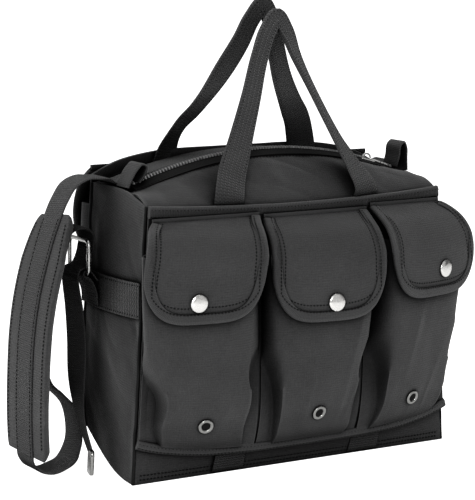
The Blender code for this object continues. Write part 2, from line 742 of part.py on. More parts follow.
def build_flap(side, word, index, place, parts):
    surface = lambda u, v: flap_surface(side, index, math.sin(math.pi * (u - 0.5)), v)
    flap = sheet(f"{word}_flap_{place}", surface, 10, 10, FLAP_SKIN, "canvas", parts, (0, side, 0))
    shift = SNAP_SHIFT[side][index] / FLAP_HALF_WIDTH
    snap_at = lambda u, v: flap_surface(side, index, u + shift, v)
    point, normal, turn = surface_frame(snap_at, 0.0, SNAP_AT[side][index], side)
    cap_place = Matrix.Translation(Vector((point + normal * GAP) * MM)) @ turn
    dome = [(SNAP_RADIUS * math.cos(a), 0.7 + 1.7 * math.sin(a)) for a in np.radians([0, 20, 40, 60, 75])]
    profile = [(0.0, 0.0), (6.9, 0.0), *dome, (0.0, 2.4)]
    cap = turned(f"{word}_snap_cap_{place}", profile, 24, "nickel", parts, cap_place)
    hinge_at = flap_surface(side, index, 0.0, 0.0)
    hang_on(pivot(f"{word}_flap_{place}_hinge", hinge_at, parts), flap, cap)
    low = pocket_bottom(side, index)
    share = (point[2] - low) / (POCKET_LIP + BACK_RISE * back_share(side) - low)
    a = SNAP_SHIFT[side][index]
    seat, out, seat_turn = surface_frame(
        lambda du, s: pocket_face(side, index, s, a + du * 36.0), 0.0, share, side
    )
    stud_place = Matrix.Translation(Vector((seat + out * GAP) * MM)) @ seat_turn
    stud = [(0.0, 0.0), (4.8, 0.0), (4.8, 0.5), (2.0, 0.7), (1.9, 1.6), (1.3, 2.0), (0.0, 2.0)]
    turned(f"{word}_snap_stud_{place}", stud, 16, "nickel", parts, stud_place)


def build_pocket_side(side, word, parts, helpers):
    build_pocket_panel(side, word, parts, helpers)
    for index, place in enumerate(("left", "middle", "right")):
        build_pocket(side, word, index, place, parts, helpers)
        build_flap(side, word, index, place, parts)


# ---------------------------------------------------------------- handles


def handle_surface(side, u, v):
    """Loop of webbing, leaning in towards the other handle and folded narrow at the grip."""
    knots = path_knots([(x, side * y, z) for x, y, z in HANDLE_POINTS[side]])
    tangent = along(knots, min(v + 0.004, 1.0)) - along(knots, max(v - 0.004, 0.0))
    across = np.cross(np.array([0.0, side, 0.14]), tangent)
    across /= np.linalg.norm(across)
    return along(knots, v) + across * along(HANDLE_WIDTH, v) * (u - 0.5)


def build_handles(parts):
    for side, word in ((FRONT, "front"), (BACK, "back")):
        handle = sheet(
            f"{word}_handle", lambda u, v, s=side: handle_surface(s, u, v), 2, 44, HANDLE_THICKNESS,
            "webbing", parts, (0, side, 0), offset=0.0,
        )
        _, foot_y, foot_z = HANDLE_POINTS[side][0]
        hang_on(pivot(f"{word}_handle_hinge", (0.0, side * foot_y, foot_z), parts), handle)


# ---------------------------------------------------------------- shoulder strap


def ribbon(name, knots, width, thickness, finish, parts, y, rows, span=(0.0, 1.0), crowd=1.0):
    """Webbing along a path in the XZ plane. width and y are numbers, or functions of the path's share.
    A crowd above 1 packs the rows towards the path's end."""
    width_at = width if callable(width) else lambda t: width
    y_at = y if callable(y) else lambda t: y

    def surface(u, v):
        t = mix(span[0], span[1], 1 - (1 - v) ** crowd)
        x, z = along(knots, t)
        return np.array([x, y_at(v) + width_at(v) * (u - 0.5), z])

    return sheet(name, surface, 2, rows, thickness, finish, parts, offset=0.0)


def shifted_path(points, distance):
    """The same path, moved to the left of its direction."""
    knots = path_knots(points)
    moved = []
    for t, _ in knots:
        point, left = path_frame(knots, t)
        moved.append(point + left * distance)
    return moved


def strap_height(x):
    """Height at which a strap lies across the top of the bag."""
    u = max(-1.0, min(1.0, x / (TOP_LENGTH / 2)))
    return max(top_surface(BACK, u, t)[2] for t in (0.1, 0.25, 0.4, 0.55, 0.7, 0.9)) + 1.6


def ring_points(x, low, high):
    """Rounded rectangle in the YZ plane."""
    radius = 5.0
    points = []
    corners = ((1, 1, 0), (-1, 1, 90), (-1, -1, 180), (1, -1, 270))
    for sy, sz, start in corners:
        cy = STRAP_Y + sy * (RING_HALF_WIDTH - radius)
        cz = (low + high) / 2 + sz * ((high - low) / 2 - radius)
        for a in np.radians([start, start + 30, start + 60, start + 90]):
            points.append((x, cy + radius * math.cos(a), cz + radius * math.sin(a)))
    return points


def ring_object(name, x, parts):
    mesh = wire_mesh(name, ring_points(x, RING_LOW, RING_HIGH), WIRE, True)
    return add_object(name, mesh, "nickel", parts)


def build_strap(parts):
    build_strap_run(parts)
    build_hanging_strap(parts)
    build_buckle(parts)
    ring = ring_object("right_ring", RING_X, parts)
    hang_on(pivot("ring_axis", (RING_X, STRAP_Y, RING_LOW), parts), ring)


def build_strap_run(parts):
    """The strap across the top, down to the right ring and round its upper bar."""
    top = [(x, strap_height(x)) for x in np.linspace(-136.0, 130.0, 15)]
    turn = [
        (RING_X + 5.0 * math.cos(a), RING_HIGH + 5.0 * math.sin(a))
        for a in np.radians([130, 90, 50, 10, -30, -70])
    ]
    run = [(-150.6, 245.4), *top, (144.0, 245.0), (153.0, 238.0), (159.5, 224.0), (163.5, 210.0), *turn]
    run_y = lambda t: along(RUN_Y, t)
    ribbon("strap_run", path_knots(run), WEB, WEB_THICKNESS, "webbing", parts, run_y, 52, crowd=1.7)


def build_hanging_strap(parts):
    """The strap from the left edge of the top, the pad under it, and its lower loop."""
    drop_y = lambda t: along(DROP_Y, t)
    loop_y = lambda t: along(LOOP_Y, t)
    pad_width = lambda t: along(((0.0, 46.0), (0.14, 60.0), (0.3, PAD_WIDTH), (1.0, PAD_WIDTH - 2)), t)
    drop = path_knots(DROP_PATH)
    loop = path_knots(LOOP_PATH)
    pad = path_knots(shifted_path(DROP_PATH, WEB_THICKNESS / 2 + 0.45 + PAD_THICKNESS / 2))
    pieces = (
        ribbon("strap_over_pad", drop, WEB, WEB_THICKNESS, "webbing", parts, drop_y, 22),
        ribbon("shoulder_pad", pad, pad_width, PAD_THICKNESS, "pad", parts, PAD_Y, 16, span=(0.24, 0.985)),
        ribbon("strap_lower_loop", loop, WEB, WEB_THICKNESS, "webbing", parts, loop_y, 34),
    )
    hang_on(pivot("strap_drape_axis", (-151.0, STRAP_Y, 245.5), parts), *pieces)


def build_buckle(parts):
    """The left ring with the strap's turn in it, and the tail and metal tip that hang from it."""
    width = WEB - 1.5
    turns = path_knots(TURN_PATH)
    turn = ribbon("strap_buckle_turn", turns, width, WEB_THICKNESS, "webbing", parts, STRAP_Y, 30)
    buckle = ring_object("left_buckle", -RING_X, parts)
    hang_on(pivot("buckle_axis", (-RING_X, STRAP_Y, RING_LOW), parts), turn, buckle)
    tail_y = lambda t: STRAP_Y - 9.0 * t - 27.0 * t**4
    tail_width = lambda t: WEB - 7.0 - 7.0 * t
    falls = path_knots(TAIL_PATH)
    tail = ribbon("strap_tail", falls, tail_width, WEB_THICKNESS, "webbing", parts, tail_y, 12)
    tip_path = path_knots(((-175.3, 24.0), (-175.6, 14.0), (-176.0, 4.0)))
    tip = ribbon("strap_tip", tip_path, WEB - 14.0, 3.0, "nickel", parts, STRAP_Y - 36.0, 2)
    hang_on(pivot("tail_axis", (TAIL_PATH[0][0], STRAP_Y, TAIL_PATH[0][1]), parts), tail, tip)


def main():
    clear_scene()
    parts = bpy.data.collections.new("flight_bag")
    helpers = bpy.data.collections.new("cutters")
    bpy.context.scene.collection.children.link(parts)
    bpy.context.scene.collection.children.link(helpers)
    build_body(parts, helpers)
    build_webbing_wraps(parts)
    build_end_webbing(parts)
    build_zip(parts, helpers)
    for side, word in ((FRONT, "front"), (BACK, "back")):
        build_pocket_side(side, word, parts, helpers)
    build_handles(parts)
    build_strap(parts)


main()
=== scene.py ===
"""The looks of the canvas flight bag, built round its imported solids.

Lengths are in millimetres in the code and become metres when a mesh is made. +X is the bag's right-hand
end, -Y its front, +Z up.
"""

import itertools
import math

import bpy
import numpy as np
from mathutils import Matrix, Vector


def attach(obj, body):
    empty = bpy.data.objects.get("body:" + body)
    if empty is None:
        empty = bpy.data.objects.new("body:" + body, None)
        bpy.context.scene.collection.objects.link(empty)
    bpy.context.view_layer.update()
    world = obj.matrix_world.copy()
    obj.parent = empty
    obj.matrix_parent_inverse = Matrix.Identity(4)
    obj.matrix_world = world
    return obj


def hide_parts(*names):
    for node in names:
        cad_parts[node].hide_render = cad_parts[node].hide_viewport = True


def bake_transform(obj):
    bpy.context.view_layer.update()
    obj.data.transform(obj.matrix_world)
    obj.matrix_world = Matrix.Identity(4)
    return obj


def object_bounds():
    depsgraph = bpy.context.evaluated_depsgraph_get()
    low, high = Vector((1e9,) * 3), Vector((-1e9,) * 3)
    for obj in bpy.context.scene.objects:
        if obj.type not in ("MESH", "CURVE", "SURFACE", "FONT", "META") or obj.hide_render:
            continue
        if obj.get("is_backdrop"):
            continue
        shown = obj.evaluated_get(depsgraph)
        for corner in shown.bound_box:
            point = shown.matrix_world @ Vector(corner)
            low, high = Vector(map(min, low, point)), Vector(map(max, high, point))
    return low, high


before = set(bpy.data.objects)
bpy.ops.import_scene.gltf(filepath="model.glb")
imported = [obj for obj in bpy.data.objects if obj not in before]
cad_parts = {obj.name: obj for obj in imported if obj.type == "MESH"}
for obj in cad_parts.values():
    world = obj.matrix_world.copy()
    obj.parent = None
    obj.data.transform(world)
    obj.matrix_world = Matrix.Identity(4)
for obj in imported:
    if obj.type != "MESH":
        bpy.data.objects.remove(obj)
cad_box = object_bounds()

MM = 0.001
FRONT, BACK = -1, 1
LEFT, RIGHT = -1, 1
SIDES = ((FRONT, "front"), (BACK, "back"))
PLACES = ("left", "middle", "right")

# Body
BASE_LENGTH, TOP_LENGTH = 314.0, 288.0
BASE_DEPTH, TOP_DEPTH = 99.0, 95.0
FRONT_TOP = 229.0
BACK_RISE = 28.0
END_SWELL = 6.0
CANVAS = 1.7

# Zip
ZIP_TOP, ZIP_END, ZIP_HALF_SPAN = 262.8, 234.6, 144.0
ZIP_RADIUS = (ZIP_HALF_SPAN**2 + (ZIP_TOP - ZIP_END) ** 2) / (2 * (ZIP_TOP - ZIP_END))
ZIP_CENTRE = ZIP_TOP - ZIP_RADIUS
PANEL_TO_ZIP = 10.5
TOP_CROWN = {FRONT: 5.0, BACK: -5.0}
SLIDER_X = 104.0

# Webbing
WEB = 30.0
WRAP_X = 68.4
STRAP_Y = 26.0
END_BAND_Z = 152.0
RING_X, RING_LOW, RING_HIGH = 167.0, 167.5, 195.0

# Pockets
BINDING = 9.0
LOW_BINDING = 7.0
POCKET_LIP = 192.0
SEAMS = {FRONT: ((-50.0, -42.0), (52.0, 66.0)), BACK: ((-52.0, -48.0), (52.0, 48.0))}
FACE_X = {FRONT: (-115.0, 2.0, 115.0), BACK: (-99.0, 0.0, 99.0)}
FACE_YAW = {FRONT: (-8.0, -6.0, 14.0), BACK: (-3.0, 0.0, 3.0)}
STAND_SCALE = {FRONT: 1.0, BACK: 0.55}
WIDTH_SCALE = {FRONT: 1.0, BACK: 0.93}
SNAP_SHIFT = {FRONT: (-6.0, 4.0, 9.0), BACK: (0.0, 0.0, 0.0)}
SNAP_AT = {FRONT: (0.86, 0.88, 0.8), BACK: (0.82, 0.82, 0.82)}
FLAP_DROPS = {FRONT: (79.0, 83.0, 76.0), BACK: (77.0, 77.0, 77.0)}
FLAP_HALF_WIDTH = 53.0
FLAP_LENGTH = 96.0
GROMMET_Z = 49.4


# ---------------------------------------------------------------- curves, surfaces and noise


def curve(knots):
    """Smooth curve through (t, value) knots, as a function of an array of t."""
    ts = np.array([knot[0] for knot in knots], float)
    values = np.array([knot[1] for knot in knots], float)
    slopes = np.gradient(values, ts, axis=0)

    def value(t):
        t = np.clip(np.asarray(t, float), ts[0], ts[-1])
        i = np.clip(np.searchsorted(ts, t, side="right") - 1, 0, len(ts) - 2)
        span = ts[i + 1] - ts[i]
        s = (t - ts[i]) / span
        if values.ndim == 2:
            span, s = span[..., None], s[..., None]
        start = (1 + 2 * s) * (1 - s) ** 2 * values[i] + s * (1 - s) ** 2 * span * slopes[i]
        return start + s * s * (3 - 2 * s) * values[i + 1] + s * s * (s - 1) * span * slopes[i + 1]

    return value


def path(points):
    points = np.array(points, float)
    total = travelled(points)
    return curve(list(zip(total / total[-1], points)))


def mix(a, b, t):
    return a + (b - a) * t


def stack(x, y, z):
    return np.stack(np.broadcast_arrays(x, y, z), axis=-1)


def unit(v):
    return v / np.maximum(np.linalg.norm(v, axis=-1, keepdims=True), 1e-9)


def square_to(v, run):
    """The unit part of v that is square to run."""
    return unit(v - run * (v * run).sum(-1, keepdims=True))


def arc(radius, degrees, centre=(0.0, 0.0)):
    """Points of a circle at the given angles."""
    return [(centre[0] + radius * math.cos(a), centre[1] + radius * math.sin(a)) for a in np.radians(degrees)]


def travelled(line):
    """Distance along a line at each of its points."""
    return np.concatenate([[0.0], np.cumsum(np.linalg.norm(np.diff(line, axis=0), axis=1))])


def resampled(spots, total, *lines):
    """Lines with the same distances, at other distances along them."""
    return [np.stack([np.interp(spots, total, a[:, i]) for i in range(3)], axis=-1) for a in lines]


def noise(points, scale, seed):
    """Smooth noise from -1 to 1 over points in millimetres. scale is one size or one for each axis."""
    at = points / np.array(scale, float)
    cell = np.floor(at).astype(np.int64)
    part = at - cell
    part = part * part * (3 - 2 * part)
    total = np.zeros(points.shape[:-1])
    for corner in itertools.product((0, 1), repeat=3):
        grid = cell + np.array(corner)
        number = grid @ np.array([374761393, 668265263, 912367421]) + seed * 1274126177
        number = ((number & 0xFFFFFFFF) ^ ((number & 0xFFFFFFFF) >> 13)) * 1274126177 & 0xFFFFFFFF
        weight = np.prod(np.where(np.array(corner) == 1, part, 1 - part), axis=-1)
        total += weight * (((number ^ (number >> 16)) & 0xFFFF) / 32767.5 - 1)
    return total


WALL_SWELL = curve(((0.0, 0.0), (0.16, 15.0), (0.45, 15.0), (0.7, 10.0), (1.0, 3.0)))
POCKET_STAND = curve((
    (0.0, 6.5), (0.035, 9.6), (0.1, 12.5), (0.25, 19.0), (0.48, 27.0), (0.73, 31.0), (1.0, 29.0)
))
POCKET_WIDTH = curve(((0.0, 36.0), (0.25, 36.5), (0.48, 41.5), (0.73, 46.0), (1.0, 46.5)))
POCKET_LEAN = curve(((0.0, 0.88), (0.1, 0.93), (0.25, 0.94), (0.48, 0.975), (0.73, 1.0), (1.0, 1.0)))
FLAP_STAND = curve(((0.0, 7.6), (0.15, 16.0), (0.33, 29.5), (0.5, 37.5), (0.7, 39.0), (1.0, 37.5)))
FLAP_FALL = curve(((0.0, 0.0), (0.15, 0.055), (0.33, 0.17), (0.5, 0.33), (0.7, 0.57), (1.0, 1.0)))
FLAP_OPENED = curve(((0.0, 0.0), (0.35, 0.6), (0.7, 0.95), (1.0, 1.0)))


def zip_z(x):
    return ZIP_CENTRE + np.sqrt(ZIP_RADIUS**2 - np.asarray(x, float) ** 2)


def back_share(side):
    return 0.0 if side == FRONT else 1.0


def half_length(z, w=0.0):
    tuck = 15.0 * np.asarray(w, float) ** 2 * np.maximum(0.0, 1 - z / 90.0) ** 2
    return mix(BASE_LENGTH, TOP_LENGTH, z / FRONT_TOP) / 2 - tuck


def half_depth(z):
    return mix(BASE_DEPTH, TOP_DEPTH, z / FRONT_TOP) / 2


def body_top(side):
    return FRONT_TOP + BACK_RISE * back_share(side)


def wall(side, x, z):
    u = x / half_length(z, back_share(side))
    return side * (half_depth(z) + WALL_SWELL(z / body_top(side)) * np.maximum(0.0, 1 - u * u))


def wall_yaw(side, x, z):
    return np.degrees(np.arctan((wall(side, x + 1, z) - wall(side, x - 1, z)) / 2))


def shoulder(side, u):
    return (FRONT_TOP - 4.9 * (1 - u * u)) if side == FRONT else (238.0 + 13.0 * (1 - u * u))


def base_lift(u, w):
    return 28.0 * np.maximum(0.0, (np.abs(u) - 0.6) / 0.4) ** 2 * np.asarray(w, float) ** 2


def top_surface(side, u, t):
    z = shoulder(side, u)
    x = u * half_length(z, back_share(side))
    start = stack(x, wall(side, x, z), z)
    end_x = u * (ZIP_HALF_SPAN - 3.0)
    end = stack(end_x, side * PANEL_TO_ZIP, zip_z(end_x) - 1.0)
    t = np.asarray(t, float)[..., None]
    crown = TOP_CROWN[side] * np.sin(np.pi * t) * (1 - u**8 * back_share(side))[..., None]
    return mix(start, end, t) + crown * np.array([0.0, 0.55 * side, 0.83])


def end_top(w):
    return curve(((0.0, FRONT_TOP), (0.15, 233.0), (0.4, 238.0), (0.6, 239.0), (1.0, 238.5)))(w)


def end_surface(side, w, v):
    z = mix(0.3 + base_lift(1.0, w), end_top(w), v)
    y = mix(-1.0, 1.0, w) * half_depth(z)
    swell = END_SWELL * (1 - (2 * w - 1) ** 2) * np.sin(np.pi * v)
    return stack(side * (half_length(z, w) + swell), y, z)


def end_at(side, y, z):
    w = (y / half_depth(z) + 1) / 2
    return side * (half_length(z, w) + END_SWELL * (1 - (2 * w - 1) ** 2) * np.sin(np.pi * z / 236.0))


def panel_top(side, u):
    return shoulder(FRONT, u) if side == FRONT else 262.0 - 19.0 * np.abs(u) ** 4.5


def panel_bottom(side, u):
    return 38.0 + BACK_RISE * back_share(side) - 12.6 * (1 - u**4)


def panel_surface(side, u, z, offset):
    x = u * half_length(z, back_share(side))
    return stack(x, wall(side, x, z) + side * offset, z)


def face_frame(side, x, z, stand, yaw):
    """Point standing off the wall, with the directions across and out of a pocket's face."""
    angle = np.radians(yaw)
    across = stack(np.cos(angle), np.sin(angle), 0.0)
    out = stack(-side * np.sin(angle), side * np.cos(angle), 0.0)
    return stack(x, wall(side, x, z) + side * stand, z), across, out


def pocket_bottom(side, index):
    return panel_bottom(side, FACE_X[side][index] * 0.9 / (BASE_LENGTH / 2)) + 1.6


def pocket_seams(side, index, z):
    lean = (z - 30.0 - BACK_RISE * back_share(side)) / 190.0
    edge = half_length(z, back_share(side)) - 0.8
    inner = [mix(low, high, lean) for low, high in SEAMS[side]]
    edges = [-edge, inner[0], inner[1], edge]
    return edges[index] + 1.2 * (index > 0), edges[index + 1] - 1.2 * (index < 2)


def pocket_face(side, index, share, a):
    """Outer face of a pocket: share runs from bottom to lip, a across it in millimetres."""
    z = mix(pocket_bottom(side, index), POCKET_LIP + BACK_RISE * back_share(side), share)
    x = FACE_X[side][index] * POCKET_LEAN(share)
    if index == 0:
        x = x + 6.0 * np.exp(-(((share - 0.25) / 0.17) ** 2)) - 2.0 * np.clip((share - 0.4) / 0.3, 0, 1)
    yaw = mix(wall_yaw(side, x, z), FACE_YAW[side][index] * -side, np.minimum(1.0, share * 1.6))
    stand = 6.5 + (POCKET_STAND(share) - 6.5) * STAND_SCALE[side]
    point, across, out = face_frame(side, x, z, stand, yaw)
    half = POCKET_WIDTH(share) * WIDTH_SCALE[side]
    crown = 2.0 * (1 - (a / half) ** 2) * np.minimum(1.0, share * 3)
    return point + across * np.asarray(a)[..., None] + out * crown[..., None]


def settle(side, index, point, share):
    """Brings a pocket's lower edge down to the sagging seam below it."""
    u = np.clip(point[..., 0] / (BASE_LENGTH / 2), -1, 1)
    edge = panel_bottom(side, u) + 1.6 - 2.2
    point = point.copy()
    point[..., 2] += (edge - pocket_bottom(side, index)) * (1 - share) ** 3
    return point


def soften(points, weight, times):
    """Rounds the folds that run up a grid, by the weight at each point."""
    points = points.copy()
    for _ in range(times):
        middle = (points[:, :-2] + points[:, 2:]) / 2
        points[:, 1:-1] = mix(points[:, 1:-1], middle, weight[:, 1:-1, None])
    return points


def pocket_surface(side, index, u, share):
    """A pocket's U section, from its left seam round the face to its right seam."""
    pleat = 0.24
    z = mix(pocket_bottom(side, index), POCKET_LIP + BACK_RISE * back_share(side), share)
    half = POCKET_WIDTH(share) * WIDTH_SCALE[side]
    left, right = pocket_seams(side, index, z)
    a = half * np.clip((u - pleat) / (1 - 2 * pleat) * 2 - 1, -1, 1)
    face = pocket_face(side, index, share, a)
    out = np.clip(np.where(u < 0.5, u, 1 - u) / pleat, 0, 1)
    seam_x = np.where(u < 0.5, left, right)
    seam = stack(seam_x, wall(side, seam_x, z) + side * 4.8, z)
    full = np.clip((share - 0.22) / 0.3, 0, 1)
    full = full * full * (3 - 2 * full)
    point = mix(seam, face, out[..., None])
    point[..., 1] = mix(seam[..., 1], face[..., 1], out ** mix(7.0, 1.0, full))
    # The sides bow out where the pocket is full and fold in, behind the face's edge, near its foot.
    across = np.where(u < 0.5, -1.0, 1.0)
    bow = np.sin(np.pi * out) * mix(-3.0, 3.0, full) * STAND_SCALE[side]
    point = settle(side, index, point + stack(across * bow, 0.0, 0.0), share)
    return soften(point, 0.5 * np.clip((share - 0.3) / 0.25, 0, 1), 70)


def flap_top(side, x):
    return panel_top(side, x / half_length(body_top(side), back_share(side))) - BINDING - 0.4


def flap_surface(side, index, u, v):
    """Outer face of a flap: u from -1 to 1 across, v from its hinge to its rounded lower edge."""
    v = v * (1 - 0.4 * (1 - np.sqrt(np.maximum(0.0, 1 - np.abs(u) ** 4))))
    left, right = pocket_seams(side, index, body_top(side) - 10.0)
    opened = FLAP_OPENED(v)
    x = mix((left + right) / 2, FACE_X[side][index], opened)
    z = flap_top(side, x) - FLAP_DROPS[side][index] * FLAP_FALL(v)
    yaw = mix(wall_yaw(side, x, z), FACE_YAW[side][index] * -side, opened)
    stand = 7.6 + (FLAP_STAND(v) - 7.6) * (STAND_SCALE[side] * 1.02)
    point, across, out = face_frame(side, x, z, stand, yaw)
    half = mix((right - left) / 2 - 1.0, FLAP_HALF_WIDTH * WIDTH_SCALE[side], opened)
    return point + across * (u * half)[..., None] + out * (2.5 * (1 - u * u) * opened)[..., None]


# ---------------------------------------------------------------- materials


def node(tree, kind, inputs=None, **settings):
    made = tree.nodes.new(kind)
    for key, value in settings.items():
        setattr(made, key, value)
    for key, value in (inputs or {}).items():
        if isinstance(value, bpy.types.NodeSocket):
            tree.links.new(value, made.inputs[key])
        else:
            made.inputs[key].default_value = value
    return made


def calc(tree, operation, *values):
    return node(tree, "ShaderNodeMath", dict(enumerate(values)), operation=operation).outputs[0]


def wave(tree, value, pitch, shift=0.0):
    """One ridge for each pitch, from 0 to 1."""
    turned = calc(tree, "ADD", calc(tree, "MULTIPLY", value, math.pi / pitch), shift)
    return calc(tree, "ABSOLUTE", calc(tree, "SINE", turned))


def speckle(tree, vector, scale, **inputs):
    return node(tree, "ShaderNodeTexNoise", {"Vector": vector, "Scale": scale, **inputs}).outputs["Fac"]


def level_of(tree, value, low, high, least, most):
    """Maps a value from the range low to high onto the range least to most."""
    return node(tree, "ShaderNodeMapRange", {0: value, 1: low, 2: high, 3: least, 4: most}).outputs[0]


def blended(tree, share, first, second):
    """Mix of two colours. second may be a socket."""
    made = node(tree, "ShaderNodeMix", {0: share}, data_type="RGBA")
    for socket, colour in ((made.inputs[6], first), (made.inputs[7], second)):
        if isinstance(colour, bpy.types.NodeSocket):
            tree.links.new(colour, socket)
        else:
            socket.default_value = (*colour, 1.0)
    return made.outputs[2]


def grain(tree, u, v, across, along, detail=2.0):
    """Noise over the cloth with one size across it and another along it, in millimetres."""
    vector = node(
        tree, "ShaderNodeCombineXYZ", {0: calc(tree, "DIVIDE", u, across), 1: calc(tree, "DIVIDE", v, along)}
    ).outputs[0]
    return speckle(tree, vector, 1.0, Detail=detail, Roughness=0.6)


def start_material(name):
    material = bpy.data.materials.new(name)
    material.use_nodes = True
    tree = material.node_tree
    shader = tree.nodes["Principled BSDF"]
    uv = node(tree, "ShaderNodeUVMap", uv_map="cloth").outputs[0]
    parts = node(tree, "ShaderNodeSeparateXYZ", {0: uv})
    return material, tree, shader, parts.outputs[0], parts.outputs[1]


NEAR_REACH, FAR_REACH = 5.0, 55.0
GROUND_SHARE = 0.62
# Near-black colour of the painted shade in creases and between parts.
PAINTED_SHADE_COLOUR = (0.002, 0.002, 0.002)


def finish_cloth(tree, shader, colour, shade, height, depth, roughness, sheen):
    """Colours the cloth by shade, its weave tone about 0.5, paints shade into its creases and lights its worn ridges.

    Creases are found by how much open air there is within two reaches; painted shade there darkens the colour and dims
    the specular and sheen. The floor isn't counted as a crease: a wall standing on it keeps GROUND_SHARE of its open
    air.
    """
    worn = node(tree, "ShaderNodeNewGeometry").outputs["Pointiness"]
    edge = level_of(tree, worn, 0.51, 0.6, 0.0, 0.5)
    near, far = (
        node(tree, "ShaderNodeAmbientOcclusion", {"Distance": reach * MM}, samples=6).outputs["AO"]
        for reach in (NEAR_REACH, FAR_REACH)
    )
    coordinates = node(tree, "ShaderNodeTexCoord").outputs["Object"]
    rise = node(tree, "ShaderNodeSeparateXYZ", {0: coordinates}).outputs[2]
    ground = level_of(tree, rise, 0.0, FAR_REACH * MM, GROUND_SHARE, 1.0)
    far = calc(tree, "MINIMUM", calc(tree, "DIVIDE", far, ground), 1.0)
    # Painted shade: 0 deep in a crease and 1 in the open. It blends the colour towards the near-black crease colour
    # and dims the specular and sheen.
    clear_of_painted_shade = calc(tree, "MULTIPLY", calc(tree, "POWER", near, 1.6), calc(tree, "POWER", far, 2.6))
    broad = speckle(tree, coordinates, 26.0, Detail=3.0, Roughness=0.55)
    level = calc(tree, "ADD", calc(tree, "ADD", shade, calc(tree, "MULTIPLY", broad, 0.35)), edge)
    unshaded_colour = blended(tree, level, [c * 0.3 for c in colour], [c * 1.7 for c in colour])
    tree.links.new(blended(tree, clear_of_painted_shade, PAINTED_SHADE_COLOUR, unshaded_colour), shader.inputs["Base Color"])
    bump = node(tree, "ShaderNodeBump", {"Height": height, "Strength": 1.0, "Distance": depth * MM})
    tree.links.new(bump.outputs[0], shader.inputs["Normal"])
    shader.inputs["Roughness"].default_value = roughness
    tree.links.new(calc(tree, "MULTIPLY", clear_of_painted_shade, 0.2), shader.inputs["Specular IOR Level"])
    tree.links.new(calc(tree, "MULTIPLY", clear_of_painted_shade, sheen), shader.inputs["Sheen Weight"])
    shader.inputs["Sheen Roughness"].default_value = 0.45


def canvas_material(name, colour, pitch=1.05, depth=0.3, sheen=0.18):
    """Plain-woven cotton: threads over and under, slubs both ways, fuzz."""
    material, tree, shader, u, v = start_material(name)
    weft = calc(tree, "MULTIPLY", wave(tree, v, pitch), wave(tree, u, pitch * 2))
    warp = calc(tree, "MULTIPLY", wave(tree, u, pitch, math.pi / 2), wave(tree, v, pitch * 2, math.pi / 2))
    threads = calc(tree, "MAXIMUM", weft, warp)
    slub = calc(tree, "ADD", grain(tree, u, v, 9.0, 0.8), grain(tree, u, v, 0.8, 9.0))
    fuzz = grain(tree, u, v, 1.3, 1.3, 4.0)
    shade = calc(tree, "ADD", calc(tree, "MULTIPLY", slub, 0.42), calc(tree, "MULTIPLY", fuzz, 0.75))
    shade = calc(tree, "ADD", calc(tree, "MULTIPLY", threads, 0.16), calc(tree, "SUBTRACT", shade, 0.62))
    height = calc(tree, "ADD", calc(tree, "MULTIPLY", threads, 0.6), calc(tree, "MULTIPLY", fuzz, 0.9))
    finish_cloth(tree, shader, colour, shade, height, depth, 0.92, sheen)
    return material


def webbing_material(name, colour, pitch, depth, sheen=0.15):
    """Heavy webbing: ribs across it, split by its warp threads."""
    material, tree, shader, u, v = start_material(name)
    sway = calc(tree, "SINE", calc(tree, "MULTIPLY", u, 2 * math.pi / (1.6 * pitch)))
    sway = calc(tree, "MULTIPLY", sway, 0.45)
    turned = calc(tree, "ADD", calc(tree, "MULTIPLY", v, math.pi / pitch), sway)
    rib = calc(tree, "ABSOLUTE", calc(tree, "SINE", turned))
    warp = wave(tree, u, pitch * 0.8)
    fuzz = grain(tree, u, v, 1.2, 1.0, 4.0)
    height = calc(tree, "ADD", calc(tree, "MULTIPLY", rib, 1.0), calc(tree, "MULTIPLY", warp, 0.35))
    height = calc(tree, "ADD", height, calc(tree, "MULTIPLY", fuzz, 0.6))
    shade = calc(tree, "ADD", calc(tree, "MULTIPLY", rib, 0.35), calc(tree, "MULTIPLY", fuzz, 0.7))
    shade = calc(tree, "SUBTRACT", calc(tree, "ADD", shade, calc(tree, "MULTIPLY", warp, 0.1)), 0.42)
    finish_cloth(tree, shader, colour, shade, height, depth, 0.85, sheen)
    return material


def metal_material(name, colour, roughness):
    material, tree, shader, _, _ = start_material(name)
    coordinates = node(tree, "ShaderNodeTexCoord").outputs["Object"]
    smudge = speckle(tree, coordinates, 260.0, Detail=5.0)
    scratch = speckle(tree, coordinates, 1500.0, Detail=3.0, Distortion=1.5)
    rough = level_of(tree, smudge, 0.3, 0.7, roughness * 0.6, roughness * 1.7)
    tree.links.new(rough, shader.inputs["Roughness"])
    tint = blended(tree, scratch, [c * 0.8 for c in colour], colour)
    tree.links.new(tint, shader.inputs["Base Color"])
    bump = node(tree, "ShaderNodeBump", {"Height": scratch, "Strength": 0.25, "Distance": 0.03 * MM})
    tree.links.new(bump.outputs[0], shader.inputs["Normal"])
    shader.inputs["Metallic"].default_value = 1.0
    return material


CANVAS_FINISH = canvas_material("charcoal_canvas", (0.036, 0.036, 0.0365))
TAPE_FINISH = webbing_material("binding_tape", (0.037, 0.037, 0.0375), 1.5, 0.35)
WEBBING_FINISH = webbing_material("charcoal_webbing", (0.035, 0.035, 0.0355), 2.3, 0.9)
STRAP_FINISH = webbing_material("strap_webbing", (0.031, 0.031, 0.0315), 1.8, 0.6)
ZIP_FINISH = webbing_material("woven_zip_tape", (0.003, 0.003, 0.003), 1.4, 0.25, 0.0)
# Near-black canvas with no sheen for the seam piping: painted shadow of the grooves along the seams.
SEAM_SHADE_FINISH = canvas_material("seam_painted_shade", (0.006, 0.006, 0.006), sheen=0.0)
